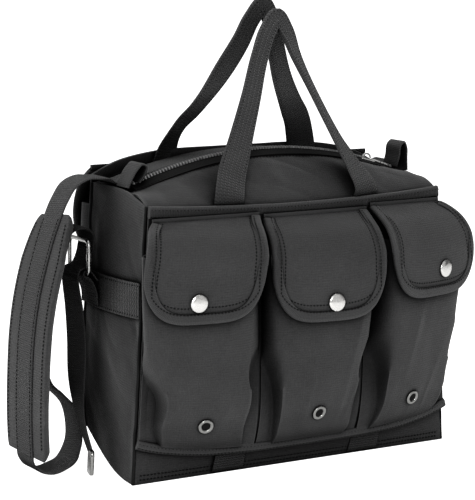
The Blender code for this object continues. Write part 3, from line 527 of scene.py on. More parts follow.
# Near-black stitch thread with no sheen: dark thread, with painted shade of the needle grooves it lies in.
THREAD_AND_SHADE_FINISH = canvas_material("stitch_thread_and_shade", (0.002, 0.002, 0.002), 0.5, 0.1, 0.0)
TEETH_FINISH = metal_material("zip_teeth", (0.28, 0.28, 0.28), 0.5)
NICKEL_FINISH = metal_material("nickel_plate", (0.8, 0.79, 0.77), 0.22)
RING_FINISH = metal_material("worn_nickel", (0.5, 0.5, 0.49), 0.25)
DARK_FINISH = metal_material("dark_nickel", (0.3, 0.3, 0.29), 0.25)


# ---------------------------------------------------------------- mesh building


def outward(points, faces):
    """The faces of a closed mesh, turned so that they point out."""
    volume = 0.0
    for size in {len(face) for face in faces}:
        corners = points[np.array([face for face in faces if len(face) == size])]
        for i in range(1, size - 1):
            volume += (np.cross(corners[:, i], corners[:, i + 1]) * corners[:, 0]).sum()
    return faces if volume > 0 else [list(face)[::-1] for face in faces]


def add_piece(name, points, faces, material, rides, stands_for=(), uvs=None):
    """A mesh piece. rides is a body, or (body, body, start, end) for cloth between two; such a piece is attached to
    neither, and the tuple's bodies and points are not used.
    """
    uvs = points[:, :2] if uvs is None else uvs
    mesh = bpy.data.meshes.new(name)
    mesh.from_pydata((points * MM).tolist(), [], outward(points, faces))
    layer = mesh.uv_layers.new(name="cloth")
    corners = np.empty(len(mesh.loops), np.int32)
    mesh.loops.foreach_get("vertex_index", corners)
    layer.data.foreach_set("uv", uvs[corners].ravel())
    mesh.validate()
    mesh.shade_smooth()
    mesh.set_sharp_from_angle(angle=math.radians(50))
    mesh.materials.append(material)
    piece = bpy.data.objects.new(name, mesh)
    bpy.context.scene.collection.objects.link(piece)
    if isinstance(rides, str):
        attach(piece, rides)
    else:
        first, second, start, end = rides
        [c * MM for c in start]
        [c * MM for c in end]
        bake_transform(piece)
    if stands_for:
        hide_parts(*stands_for)
    return piece


def grid_normals(points):
    return unit(np.cross(np.gradient(points, axis=1), np.gradient(points, axis=0)))


def grid_quads(rows, columns, first=0, wrap=False):
    numbers = np.arange(rows * columns).reshape(rows, columns) + first
    if wrap:
        numbers = np.concatenate([numbers, numbers[:, :1]], axis=1)
    a, b, c, d = numbers[:-1, :-1], numbers[:-1, 1:], numbers[1:, 1:], numbers[1:, :-1]
    return np.stack([a, b, c, d], axis=-1).reshape(-1, 4)


def capped(rows, around):
    """Faces of a tube of rings, closed at both ends."""
    ends = [list(range(around))[::-1], [(rows - 1) * around + i for i in range(around)]]
    return grid_quads(rows, around, wrap=True).tolist() + ends


def looped(rows, around):
    """Faces of a tube of rings that comes back to its first ring."""
    return (grid_quads(rows + 1, around, wrap=True) % (rows * around)).tolist()


def lengths(points, axis):
    """Distance along the grid from its middle line, at each point."""
    steps = np.linalg.norm(np.diff(points, axis=axis), axis=-1)
    total = np.cumsum(steps, axis=axis)
    zero = np.zeros_like(np.take(total, [0], axis=axis))
    total = np.concatenate([zero, total], axis=axis)
    return total - np.take(total, [total.shape[axis] // 2], axis=axis)


def ruffled(points, amount, scale, seed, mask=1.0):
    return points + grid_normals(points) * (noise(points, scale, seed) * amount * mask)[..., None]


def creased(points, amount, angle, long, wide, seed, axis=0, mask=1.0):
    """Pulls long, soft creases into a grid. They run at an angle from the X or Y axis of the face."""
    cos, sin = math.cos(math.radians(angle)), math.sin(math.radians(angle))
    run = points[..., axis] * cos + points[..., 2] * sin
    aside = points[..., 2] * cos - points[..., axis] * sin
    wander = noise(stack(run / long, aside / wide, 0.5), 1.0, seed)
    line = np.clip(1 - np.abs(wander) * 2.2, 0, 1) ** 1.5
    return points + grid_normals(points) * (line * amount * mask)[..., None]


def edge_mask(rows, columns, reach):
    """1 in the middle of a grid and 0 at its rim."""
    down, across = (np.linspace(0, 1, count) for count in (rows, columns))
    down, across = (np.clip(np.minimum(t, 1 - t) / reach, 0, 1) for t in (down, across))
    return (down * down * (3 - 2 * down))[:, None] * (across * across * (3 - 2 * across))[None, :]


def cloth(name, points, thickness, material, facing, rides, stands_for=()):
    """Closed sheet of cloth with its outer face on the grid of points."""
    rows, columns = points.shape[:2]
    normals = grid_normals(points)
    normals = normals * np.sign((normals.reshape(-1, 3) @ np.array(facing, float)).sum())
    inner = points - normals * thickness
    count = rows * columns
    numbers = np.arange(count).reshape(rows, columns)
    rim = np.concatenate([numbers[0, :-1], numbers[:-1, -1], numbers[-1, :0:-1], numbers[:0:-1, 0]])
    after = np.roll(rim, -1)
    quads = grid_quads(rows, columns)
    edge = np.stack([rim, after, after + count, rim + count], axis=-1)
    faces = np.concatenate([quads[:, ::-1], quads + count, edge]).tolist()
    uv = np.stack([lengths(points, 1), lengths(points, 0)], axis=-1).reshape(-1, 2)
    everything = np.concatenate([points.reshape(-1, 3), inner.reshape(-1, 3)])
    return add_piece(name, everything, faces, material, rides, stands_for, np.concatenate([uv, uv]))


def grid(surface, columns, rows, u_range=(0.0, 1.0), v_range=(0.0, 1.0)):
    u, v = np.meshgrid(np.linspace(*u_range, columns + 1), np.linspace(*v_range, rows + 1))
    return surface(u, v)


def flat_profile(width, thickness, edge=0.45, steps=7):
    """Cross-section of webbing with rounded edges, as (across, out) points."""
    half, t = width / 2, thickness / 2
    turn = np.radians(np.linspace(-90, 90, 5))
    right = [(half - t * edge * 2 + t * edge * 2 * math.cos(a), t * math.sin(a)) for a in turn]
    top = [(x, t) for x in np.linspace(half - t * edge * 2, -(half - t * edge * 2), steps)[1:-1]]
    left = [(-x, -z) for x, z in right]
    bottom = [(-x, -z) for x, z in top]
    return np.array(right + top + left + bottom)


def webbing_profile(width, thickness):
    """Webbing's cross-section at each station of a path."""
    section = flat_profile(20.0, 2.0)
    wide, thick = np.broadcast_arrays(width, thickness)
    return np.stack([section[:, 0] / 20.0 * wide[:, None], section[:, 1] / 2.0 * thick[:, None]], axis=-1)


def sweep(centre, across, out, profile):
    """Section points placed along a path: (stations, section points, 3)."""
    if profile.ndim == 2:
        profile = np.broadcast_to(profile, (len(centre), *profile.shape))
    return centre[:, None] + across[:, None] * profile[..., :1] + out[:, None] * profile[..., 1:]


def band(name, centre, across, out, profile, material, rides, stands_for=()):
    """Solid strip of any section along a path."""
    rows, around = len(centre), profile.shape[-2]
    points = sweep(centre, across, out, profile).reshape(-1, 3)
    shown = np.broadcast_to(profile, (rows, around, 2))
    uv = np.stack([shown[..., 0], np.broadcast_to(travelled(centre)[:, None], (rows, around))], axis=-1)
    return add_piece(name, points, capped(rows, around), material, rides, stands_for, uv.reshape(-1, 2))


def tangents(points):
    return unit(np.gradient(points, axis=0))


def stitch_row(store, line, out, pitch=3.3, length=2.6, radius=0.46):
    """Adds a row of stitches along a line of points to the store."""
    total = travelled(line)
    spots = np.arange(pitch / 2, total[-1], pitch)
    centre, up, run = resampled(spots, total, line, out, tangents(line))
    up, run = unit(up), unit(run)
    beside = np.cross(run, up)
    store.append(
        np.stack([
            centre - run * length / 2 - up * 0.25, centre + beside * radius, centre + up * radius * 0.8,
            centre - beside * radius, centre - up * radius, centre + run * length / 2 - up * 0.25,
        ], axis=1)
    )


STITCH_FACES = np.array(
    [(0, 2, 1), (0, 3, 2), (0, 4, 3), (0, 1, 4), (5, 1, 2), (5, 2, 3), (5, 3, 4), (5, 4, 1)]
)


def sew(name, store, rides):
    points = np.concatenate(store).reshape(-1, 3)
    count = len(points) // 6
    faces = (STITCH_FACES[None] + 6 * np.arange(count)[:, None, None]).reshape(-1, 3).tolist()
    return add_piece(name, points, faces, THREAD_AND_SHADE_FINISH, rides)


def turned_points(profile, steps, origin, out):
    """Points of a (radius, height) profile turned about the direction out at origin."""
    turn = Vector((0, 0, 1)).rotation_difference(Vector(out)).to_matrix()
    angles = np.linspace(0, 2 * math.pi, steps, endpoint=False)
    profile = np.array(profile, float)
    local = np.stack([
        profile[:, None, 0] * np.cos(angles), profile[:, None, 0] * np.sin(angles),
        np.broadcast_to(profile[:, None, 1], (len(profile), steps)),
    ], axis=-1)
    return local @ np.array(turn).T + np.array(origin)


def turned(name, profile, origin, out, material, rides, stands_for=(), ring=False, steps=48, dent=0.0):
    """Turned metal: a ring has a closed profile, anything else closes on its axis."""
    points = turned_points(profile, steps, origin, out)
    if dent:
        points = points + np.array(out) * (noise(points, 4.0, 7) * dent)[..., None]
    faces = (looped if ring else capped)(len(profile), steps)
    return add_piece(name, points.reshape(-1, 3), faces, material, rides, stands_for)


# ---------------------------------------------------------------- body


def build_body():
    for side, word in SIDES:
        rows_wall, rows_top, columns = 60, 44, 150
        w = back_share(side)
        u, v = np.meshgrid(np.linspace(-1, 1, columns + 1), np.linspace(0, 1, rows_wall + 1))
        z = mix(0.3 + base_lift(u, w), shoulder(side, u), v**1.3)
        x = u * half_length(z, w)
        lower = stack(x, wall(side, x, z), z)
        lower = ruffled(lower, 1.1, (30.0, 20.0, 30.0), 5 + side, np.clip(v * 8, 0, 1) * (1 - np.abs(u) ** 8))
        u, t = np.meshgrid(np.linspace(-1, 1, columns + 1), np.linspace(0, 1, rows_top + 1)[1:])
        upper = top_surface(side, u, t)
        fade = np.sin(np.pi * np.clip(t * 0.92 + 0.04, 0, 1)) * np.clip((1 - np.abs(u)) / 0.06, 0, 1)
        upper = ruffled(upper, 2.6, (42.0, 30.0, 30.0), 3 + side, fade)
        upper = ruffled(upper, 1.0, (13.0, 16.0, 16.0), 9 + side, fade)
        upper = creased(upper, 1.6 * side, -24.0, 46.0, 15.0, 15 + side, mask=fade)
        points = np.concatenate([lower, upper])
        cloth(f"{word}_shell", points, CANVAS, CANVAS_FINISH, (0, side, 0.3), "bag", (f"{word}_panel",))
        store = []
        seam_u = np.linspace(-0.97, 0.97, 200)
        for t in (0.955, 0.9):
            line = top_surface(side, seam_u, np.full_like(seam_u, t))
            stitch_row(store, line + np.array([0, 0, 0.4]), np.tile([0.0, side * 0.3, 0.95], (200, 1)))
        for rise in (4.0, 7.5) if side == FRONT else ():
            seam_x = seam_u * half_length(rise)
            foot = stack(seam_x, wall(side, seam_x, rise) + side * 0.5, rise + 0 * seam_u)
            stitch_row(store, foot, np.tile([0.0, side, 0.0], (200, 1)))
        sew(f"{word}_shell_stitches", store, "bag")
    for side, word in ((LEFT, "left"), (RIGHT, "right")):
        points = grid(lambda a, b, s=side: end_surface(s, a, b), 56, 110)
        mask = edge_mask(111, 57, 0.1)
        points = ruffled(points, 2.2, (60.0, 48.0, 52.0), 21 + side, mask)
        points = ruffled(points, 0.5, (16.0, 17.0, 22.0), 33 + side, mask)
        points = creased(points, 2.6, 62.0, 80.0, 22.0, 35 + side, 1, mask)
        points = creased(points, 0.8, 48.0, 44.0, 15.0, 37 + side, 1, mask)
        cloth(f"{word}_end", points, CANVAS, CANVAS_FINISH, (side, 0, 0), "bag", (f"{word}_end_panel",))
    build_base()
    build_corner_piping()


def build_base():
    def floor(u, w):
        y = mix(-1.0, 1.0, w) * half_depth(0.0)
        return stack(u * half_length(0.0, w), y, base_lift(u, w) + 0.05)

    points = grid(floor, 90, 30, (-1.0, 1.0))
    cloth("base_sheet", points, 3.4, CANVAS_FINISH, (0, 0, -1), "bag", ("bottom_panel",))


def build_corner_piping():
    """Turned seams where the end panels meet the front and the back."""
    cord = np.array(arc(1.5, range(0, 360, 45)))
    for side, word in ((LEFT, "left"), (RIGHT, "right")):
        for w, place in ((0.0, "front"), (1.0, "back")):
            t = np.linspace(0.0, 1.0, 150)
            line = end_surface(side, np.full_like(t, w), t)
            inward = np.array([side * 0.3, 0.8 if w == 0 else -0.8, 0.0])
            wander = noise(line, (9.0, 9.0, 13.0), 17 + side) * 1.5
            line = line + inward * 0.5 + stack(0 * wander, wander, 0 * wander)
            run = tangents(line)
            across = unit(np.cross(run, np.array([side, 0.0, 0.0])))
            out = unit(np.cross(across, run))
            # The piping's near-black colour is painted shadow of the seam's groove.
            band(f"{word}_{place}_seam", line, across, out, cord, SEAM_SHADE_FINISH, "bag")


def wrap_line(side, x, z_from, z_to, count, offset):
    z = np.linspace(z_from, z_to, count)
    return stack(x, wall(side, np.full_like(z, x), z) + side * offset, z)


def build_wraps():
    for sign, word in ((LEFT, "left"), (RIGHT, "right")):
        x = sign * WRAP_X
        front = wrap_line(FRONT, x, 226.0, 2.0, 60, 1.0)
        back = wrap_line(BACK, x, 2.0, 255.0, 60, 1.0)
        reach = half_depth(0.0) + 1.0
        base = stack(x, np.linspace(-reach + 1.5, reach - 1.5, 20), -0.1)
        line = np.concatenate([front, base + np.array([0, 0, 0.9]), back])
        run = tangents(line)
        across = np.tile([1.0, 0.0, 0.0], (len(line), 1))
        band(
            f"{word}_wrap_webbing", line, across, unit(np.cross(across, run)), flat_profile(WEB, 1.5),
            WEBBING_FINISH, "bag", (f"webbing_wrap_{word}",),
        )


def build_end_webbing():
    for side, word in ((LEFT, "left"), (RIGHT, "right")):
        y = np.linspace(-47.0, 47.0, 60)
        line = stack(end_at(side, y, END_BAND_Z) + side * 1.2, y, END_BAND_Z)
        run = tangents(line)
        across = np.tile([0.0, 0.0, 1.0], (60, 1))
        out = unit(np.cross(run, across))
        out = out * np.sign(out[:, :1] * side)
        band(
            f"{word}_band_webbing", line, across, out, flat_profile(WEB, 1.7), WEBBING_FINISH, "bag",
            (f"{word}_end_band",),
        )
        store = []
        for z in (END_BAND_Z - 12.5, END_BAND_Z + 12.5):
            row = stack(end_at(side, y, END_BAND_Z) + side * 2.2, y, z)
            stitch_row(store, row, np.tile([side, 0.0, 0.0], (60, 1)))
        sew(f"{word}_band_stitches", store, "bag")
        foot = end_at(side, STRAP_Y - WEB / 2, END_BAND_Z) + side * 3.4
        turn = [(side * x, z) for x, z in arc(2.9, [118, 90, 55, 20, -20, -55, -90], (RING_X, RING_LOW))]
        knots = path([(foot, 161.0), *turn, (foot + side * 1.0, 151.0), (foot, 140.0)])
        xz = knots(np.linspace(0, 1, 70))
        line = stack(xz[:, 0], STRAP_Y, xz[:, 1])
        run = tangents(line)
        across = np.tile([0.0, 1.0, 0.0], (70, 1))
        band(
            f"{word}_anchor_webbing", line, across, np.cross(run, across), flat_profile(WEB - 1.0, 1.3),
            WEBBING_FINISH, "bag", (f"{word}_anchor_tab",),
        )


# ---------------------------------------------------------------- zip


def build_zip():
    for side, word in SIDES:
        def tape(u, v, s=side):
            x = 134.0 * u
            return stack(x, s * mix(0.8, PANEL_TO_ZIP + 4.0, v), zip_z(x) + 2.2 - 3.6 * v)

        points = grid(tape, 200, 8, (-1.0, 1.0))
        cloth(f"zip_tape_{word}_cloth", points, 0.9, ZIP_FINISH, (0, 0, 1), "bag", (f"zipper_tape_{word}",))
    x = np.arange(-131.0, 131.1, 2.8)
    tooth = np.array([
        (-0.75, -0.3, -0.8), (0.75, -0.3, -0.8), (0.75, 3.0, -0.8), (-0.75, 3.0, -0.8),
        (-0.6, -0.9, 0.3), (0.6, -0.9, 0.3), (0.6, 2.6, 0.3), (-0.6, 2.6, 0.3),
        (-0.35, -0.5, 0.9), (0.35, -0.5, 0.9), (0.35, 1.9, 0.9), (-0.35, 1.9, 0.9),
    ])
    shape = [(3, 2, 1, 0), (8, 9, 10, 11)]
    for low in (0, 4):
        shape += [(low + i, low + (i + 1) % 4, low + 4 + (i + 1) % 4, low + 4 + i) for i in range(4)]
    for side, word in SIDES:
        spots = x + (0.0 if side == FRONT else 1.4)
        lean = np.arcsin(spots / ZIP_RADIUS)
        flip = np.array([1.0, side, 1.0])
        local = np.broadcast_to(tooth * flip, (len(spots), 12, 3))
        cos, sin = np.cos(lean)[:, None], np.sin(lean)[:, None]
        placed = stack(
            spots[:, None] + local[..., 0] * cos + local[..., 2] * sin, local[..., 1] + side * 0.35,
            zip_z(spots)[:, None] + 2.8 - local[..., 0] * sin + local[..., 2] * cos,
        )
        faces = [tuple(i + 12 * n for i in face) for n in range(len(spots)) for face in shape]
        add_piece(f"zip_teeth_{word}", placed.reshape(-1, 3), faces, TEETH_FINISH, "bag")
    build_end_tabs()
    build_slider()


def build_end_tabs():
    left = [
        (-140.0, 239.5), (-137.0, 246.0), (-131.0, 255.0), (-126.5, 258.5), (-123.0, 256.5), (-124.5, 250.5),
        (-129.5, 243.5),
    ]
    right = [
        (142.0, 239.0), (141.5, 250.0), (141.0, 260.0), (138.5, 264.5), (135.0, 262.0), (133.0, 252.0), (130.5, 243.0),
    ]
    for word, knots in (("left", left), ("right", right)):
        xz = path(knots)(np.linspace(0, 1, 60))
        line = stack(xz[:, 0], 0.0, xz[:, 1])
        run = tangents(line)
        across = np.tile([0.0, 1.0, 0.0], (60, 1))
        out = np.cross(run, across)
        section = flat_profile(21.0, 1.9)
        band(f"zip_tab_{word}", line, across, out, section, TAPE_FINISH, "bag", (f"zipper_end_tab_{word}",))


CORNERS = ((1, 1, 0), (-1, 1, 90), (-1, -1, 180), (1, -1, 270))


def rounded_plate(width, depth, low, high, corner=1.5):
    """Closed plate in X and Y with rounded corners and eased edges, as points and faces."""
    ring = []
    for sx, sy, start in CORNERS:
        centre = (sx * (width / 2 - corner), sy * (depth / 2 - corner))
        ring += arc(corner, [start, start + 30, start + 60, start + 90], centre)
    ring = np.array(ring)
    layers = [(0.9, low), (1.0, low + 0.3), (1.0, high - 0.4), (0.88, high)]
    points = np.concatenate([np.column_stack([ring * scale, np.full(len(ring), z)]) for scale, z in layers])
    return points, capped(len(layers), len(ring))


def joined(*shapes):
    points, faces, first = [], [], 0
    for shape_points, shape_faces in shapes:
        points.append(shape_points)
        faces += [[i + first for i in face] for face in outward(shape_points, shape_faces)]
        first += len(shape_points)
    return np.concatenate(points), faces


def tube(points, radius, around=10, closed=False):
    line = np.array(points, float)
    run = unit(np.roll(line, -1, axis=0) - np.roll(line, 1, axis=0)) if closed else tangents(line)
    guide = np.array([0.0, 1.0, 0.0]) if abs(run[0, 1]) < 0.9 else np.array([1.0, 0.0, 0.0])
    across = np.empty_like(line)
    for i, step in enumerate(run):
        guide = guide - step * np.dot(guide, step)
        guide = guide / np.linalg.norm(guide)
        across[i] = guide
    out = np.cross(run, across)
    circle = np.array(arc(radius, np.linspace(0, 360, around, endpoint=False)))
    made = sweep(line, across, out, circle).reshape(-1, 3)
    return made, (looped if closed else capped)(len(line), around)


def build_slider():
    lean = math.asin(SLIDER_X / ZIP_RADIUS)
    place = Matrix.Translation((SLIDER_X, 0, float(zip_z(SLIDER_X)))) @ Matrix.Rotation(lean, 4, "Y")

    def placed(points, matrix):
        turn, shift = np.array(matrix.to_3x3()), np.array(matrix.translation)
        return points @ turn.T + shift

    arch = [(4.6 * math.cos(a), 0.0, 1.6 + 5.0 * math.sin(a)) for a in np.linspace(0, math.pi, 16)]
    neck = rounded_plate(4.0, 1.6, -2.4, 1.0, 0.6)
    neck = (neck[0] + np.array([4.0, 0.0, 0.0]), neck[1])
    points, faces = joined(
        rounded_plate(15.0, 9.2, 0.6, 2.2), rounded_plate(14.0, 8.8, -3.0, -1.7), neck, tube(arch, 0.8)
    )
    add_piece("slider_body", placed(points, place), faces, RING_FINISH, "slider", ("zipper_slider",))
    outline = [(1.2, 2.2), (2.6, 3.4), (9.0, 3.5), (14.0, 2.7), (21.0, 3.3), (24.2, 2.6), (25.0, 0.0)]
    hole = [(2.6, 0.9), (3.4, 1.9), (6.6, 1.9), (7.5, 0.9), (7.7, 0.4), (7.8, 0.2), (7.9, 0.0)]
    outer = np.array(outline + [(x, -y) for x, y in outline[-2::-1]])
    inner = np.array(hole + [(x, -y) for x, y in hole[-2::-1]])
    count = len(outer)
    rings = [(outer, -0.5), (outer, 0.5), (inner, 0.5), (inner, -0.5)]
    points = np.concatenate([np.column_stack([ring, np.full(count, z)]) for ring, z in rings])
    hinge = place @ Matrix.Translation((0, 0, 3.1)) @ Matrix.Rotation(math.radians(3), 4, "Y")
    add_piece("pull_tag", placed(points, hinge), looped(4, count), RING_FINISH, "pull", ("zipper_pull",))


# ---------------------------------------------------------------- pockets


def build_pocket_panel(side, word):
    def panel(u, v):
        z = mix(panel_bottom(side, u) - 1.0, panel_top(side, u) - 1.0, v)
        return panel_surface(side, u * 0.999, z, 3.6)

    points = grid(panel, 120, 60, (-1.0, 1.0))
    stands_for = (f"{word}_pocket_panel",)
    cloth(f"{word}_pocket_backing", points, 1.3, CANVAS_FINISH, (0, side, 0), "bag", stands_for)
    store = []
    u = np.linspace(-1.0, 1.0, 220)
    for name, edge, height in (("top", panel_top, BINDING), ("low", panel_bottom, LOW_BINDING)):
        z = edge(side, u)
        line = panel_surface(side, u, z, 4.2)
        sway = noise(line, 24.0, 41) * 0.5
        line = line + stack(0 * sway, side * np.abs(sway), sway * 0.6)
        run = tangents(line)
        out = np.tile([0.0, side * 1.0, 0.0], (220, 1))
        out = square_to(out, run)
        down = unit(np.cross(run, out))
        down = down * np.sign(-down[:, 2:3])
        section = np.array([
            (-0.7, -2.2), (-1.1, -1.0), (-0.9, 0.8), (-0.2, 1.7), (1.2, 2.1), (3.0, 2.0), (5.0, 2.1),
            (height - 2.0, 2.0), (height - 0.6, 1.7), (height, 0.6), (height - 0.1, -1.0), (height - 1.5, -2.2),
        ])
        band(f"{word}_{name}_binding", line, down, out, section, TAPE_FINISH, "bag")
        for fall in (2.0, height - 1.6):
            stitch_row(store, line + down * fall + out * 2.0, out)
    sew(f"{word}_binding_stitches", store, "bag")


def seat_on(points, x, z, side):
    """The point of a grid that is nearest to x and z, and the direction out of the cloth there."""
    middle = points[:, 30:-30]
    nearest = np.argmin(np.hypot(middle[..., 0] - x, middle[..., 2] - z))
    row, column = np.unravel_index(nearest, middle.shape[:2])
    normals = grid_normals(middle)[row - 3:row + 4, column - 3:column + 4].reshape(-1, 3)
    out = unit(normals.mean(axis=0))
    return middle[row, column], out if out[1] * side > 0 else -out


def build_pocket(side, word, index, place):
    ease = np.linspace(0, 1, 121)
    u, share = np.meshgrid(ease, np.linspace(0, 1, 101))
    points = pocket_surface(side, index, u, share)
    mask = np.clip(np.sin(np.pi * u) * 1.6, 0, 1) * np.clip(share / 0.08, 0, 1)
    points = ruffled(points, 1.5, (34.0, 30.0, 52.0), 51 + index + 5 * side, mask)
    points = ruffled(points, 0.6, (11.0, 12.0, 30.0), 71 + index + 5 * side, mask)
    foot = mask * np.clip((0.75 - share) * 4, 0, 1)
    points = creased(points, 0.9, 78.0, 60.0, 17.0, 73 + index + 5 * side, mask=foot)
    name = f"{word}_pocket_{place}"
    cloth(f"{name}_cloth", points, CANVAS, CANVAS_FINISH, (0, side, 0), "bag", (name,))
    at, out = seat_on(points, FACE_X[side][index] * 0.9, GROMMET_Z + BACK_RISE * back_share(side), side)
    eyelet = [
        (3.6, -2.4), (4.2, -2.4), (4.4, 0.2), (5.9, 0.4), (6.4, 0.5), (6.3, 0.8), (5.7, 1.2), (5.0, 1.3),
        (4.3, 1.1), (3.6, 0.4),
    ]
    turned(
        f"{word}_eyelet_{place}", eyelet, at + out * 0.5, out, DARK_FINISH, "bag", (f"{word}_grommet_{place}",),
        ring=True, dent=0.35,
    )
    # A near-black disc in the eyelet's hole: painted shadow for the dark inside of the pocket behind it.
    hole_shade_disc = [(0.01, -0.6), (3.9, -0.6), (3.9, -0.2), (0.01, -0.2)]
    turned(f"{word}_eyelet_hole_shade_{place}", hole_shade_disc, at + out * 1.2, out, THREAD_AND_SHADE_FINISH, "bag")


def on_flap(side, index, u, v, lift=0.0):
    """Points on a flap's outer face, with its soft dents, and the face's outward directions."""
    step = 0.004
    point = flap_surface(side, index, u, v)
    right, left = np.minimum(u + step, 1), np.maximum(u - step, -1)
    du = flap_surface(side, index, right, v) - flap_surface(side, index, left, v)
    dv = flap_surface(side, index, u, v + step) - flap_surface(side, index, u, v - step)
    out = unit(np.cross(du, dv))
    out = out * np.sign((out[..., 1] * side).mean())
    free = (1 - np.abs(u) ** 6) * np.clip(v / 0.1, 0, 1) * np.clip((1 - v) / 0.12, 0, 1)
    dent = noise(point, (38.0, 30.0, 34.0), 91 + index + 7 * side) * 1.2 * free
    return point + out * (dent + lift)[..., None], out


def flap_edge(inset):
    """u and v along a flap's free edge, drawn in by a distance in millimetres."""
    down = np.linspace(0.03, 1.0, 60)
    across = np.sin(np.linspace(-math.pi / 2, math.pi / 2, 110))[1:-1]
    u = np.concatenate([-np.ones(60), across, np.ones(60)])
    v = np.concatenate([down, np.ones(108), down[::-1]])
    return u * (1 - inset / FLAP_HALF_WIDTH), v * (1 - inset / FLAP_LENGTH)


def evened(count, line, *others):
    """The same lines, resampled at equal steps along the first."""
    total = travelled(line)
    return resampled(np.linspace(0, total[-1], count), total, line, *others)


def build_flap(side, word, index, place):
    body = f"{word}_flap_{place}"
    hinge = flap_surface(side, index, np.zeros((1, 1)), np.zeros((1, 1)))[0, 0]
    rides = ("bag", body, hinge + np.array([0, -side * 1.0, 1.0]), hinge + np.array([0, side * 7.0, -7.0]))
    u, v = np.meshgrid(np.sin(np.linspace(-math.pi / 2, math.pi / 2, 91)), np.linspace(-0.02, 1, 81))
    points, _ = on_flap(side, index, u, np.maximum(v, 0.0))
    points[..., 2] += np.where(v < 0, 3.0, 0.0)
    cloth(f"{body}_cloth", points, 2.2, CANVAS_FINISH, (0, side, 0), rides, (body,))
    edge, out = on_flap(side, index, *flap_edge(0.0))
    inner, _ = on_flap(side, index, *flap_edge(8.0))
    edge, out, inner = evened(190, edge, out, inner)
    run = tangents(edge)
    inward = square_to(inner - edge, run)
    out = np.cross(run, inward)
    out = unit(out * np.sign(out[:, 1:2] * side))
    section = np.array([
        (7.9, 0.0), (7.6, 0.9), (6.8, 1.25), (5.0, 1.35), (2.0, 1.35), (0.4, 1.1), (-0.6, 0.3), (-1.0, -1.0),
        (-0.6, -2.3), (0.4, -3.0), (3.0, -3.2), (7.0, -3.1), (7.7, -2.6), (7.9, -1.6),
    ])
    band(f"{body}_binding", edge, inward, out, section, TAPE_FINISH, rides)
    store = []
    for inset, lift in ((6.3, 1.55), (10.3, 0.25)):
        row, row_out = evened(400, *on_flap(side, index, *flap_edge(inset), lift))
        stitch_row(store, row, row_out, pitch=3.0, length=2.5)
    sew(f"{body}_stitches", store, rides)
    shift = SNAP_SHIFT[side][index] / FLAP_HALF_WIDTH
    spot, face = on_flap(side, index, np.array([shift]), np.array([SNAP_AT[side][index]]), 0.2)
    dome = [(7.5 * math.cos(a), 0.7 + 1.8 * math.sin(a)) for a in np.radians([0, 12, 25, 40, 55, 70, 82])]
    cap = [(6.6, 0.0), (7.3, 0.15), *dome, (0.4, 2.55)]
    turned(f"{word}_cap_{place}", cap, spot[0], face[0], NICKEL_FINISH, body, (f"{word}_snap_cap_{place}",))


def finish_carried_nodes():
    """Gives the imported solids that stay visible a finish."""
    for name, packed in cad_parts.items():
        if "stud" in name:
            packed.data.materials.clear()
            packed.data.materials.append(NICKEL_FINISH)


# ---------------------------------------------------------------- handles and strap

HANDLE_WIDTH = {
    FRONT: curve((
        (0.0, 29.0), (0.1, 27.0), (0.2, 22.0), (0.3, 17.5), (0.5, 15.0), (0.7, 15.5), (0.8, 17.0), (0.9, 22.0),
        (1.0, 29.0),
    )),
    BACK: curve((
        (0.0, 29.0), (0.1, 25.0), (0.2, 22.0), (0.3, 20.0), (0.5, 16.0), (0.7, 19.0), (0.8, 23.0), (0.9, 28.5),
        (1.0, 30.0),
    )),
}
HANDLE_THICK = curve((
    (0.0, 1.7), (0.15, 1.8), (0.3, 3.4), (0.5, 4.2), (0.7, 3.4), (0.85, 1.8), (1.0, 1.7)
))
HANDLE_POINTS = {
    FRONT: (
        (-68.4, 50.3, 222.0), (-68.0, 51.6, 231.0), (-61.5, 44.5, 251.0), (-52.0, 38.5, 271.0), (-35.5, 30.0, 311.0),
        (-20.5, 20.5, 346.0), (-10.0, 16.0, 366.0), (0.5, 14.2, 377.5), (8.5, 16.0, 366.0), (15.0, 20.5, 346.0),
        (29.5, 30.0, 311.0), (49.0, 38.5, 271.0), (60.0, 44.5, 251.0), (68.0, 51.6, 231.0), (68.4, 50.3, 222.0),
    ),
    BACK: (
        (-70.0, 50.6, 248.0), (-68.4, 51.2, 262.0), (-60.0, 46.0, 282.5), (-48.5, 39.5, 297.0), (-30.0, 29.5, 326.0),
        (-14.5, 20.0, 355.5), (-6.5, 15.5, 375.0), (3.0, 13.8, 386.5), (12.0, 15.5, 375.0), (19.5, 20.0, 355.5),
        (33.0, 29.5, 326.0), (50.5, 39.5, 297.0), (61.0, 46.0, 282.5), (68.4, 51.2, 262.0), (70.0, 50.6, 248.0),
    ),
}
HANDLE_TWIST = {
    FRONT: curve((
        (0.0, 0.0), (0.2, 0.0), (0.35, -8.0), (0.5, 0.0), (0.62, 36.0), (0.8, 40.0), (0.93, 24.0), (1.0, 4.0)
    )),
    BACK: curve(((0.0, -6.0), (0.08, -32.0), (0.2, -30.0), (0.33, -4.0), (0.5, 0.0), (0.8, -6.0), (1.0, 0.0))),
}


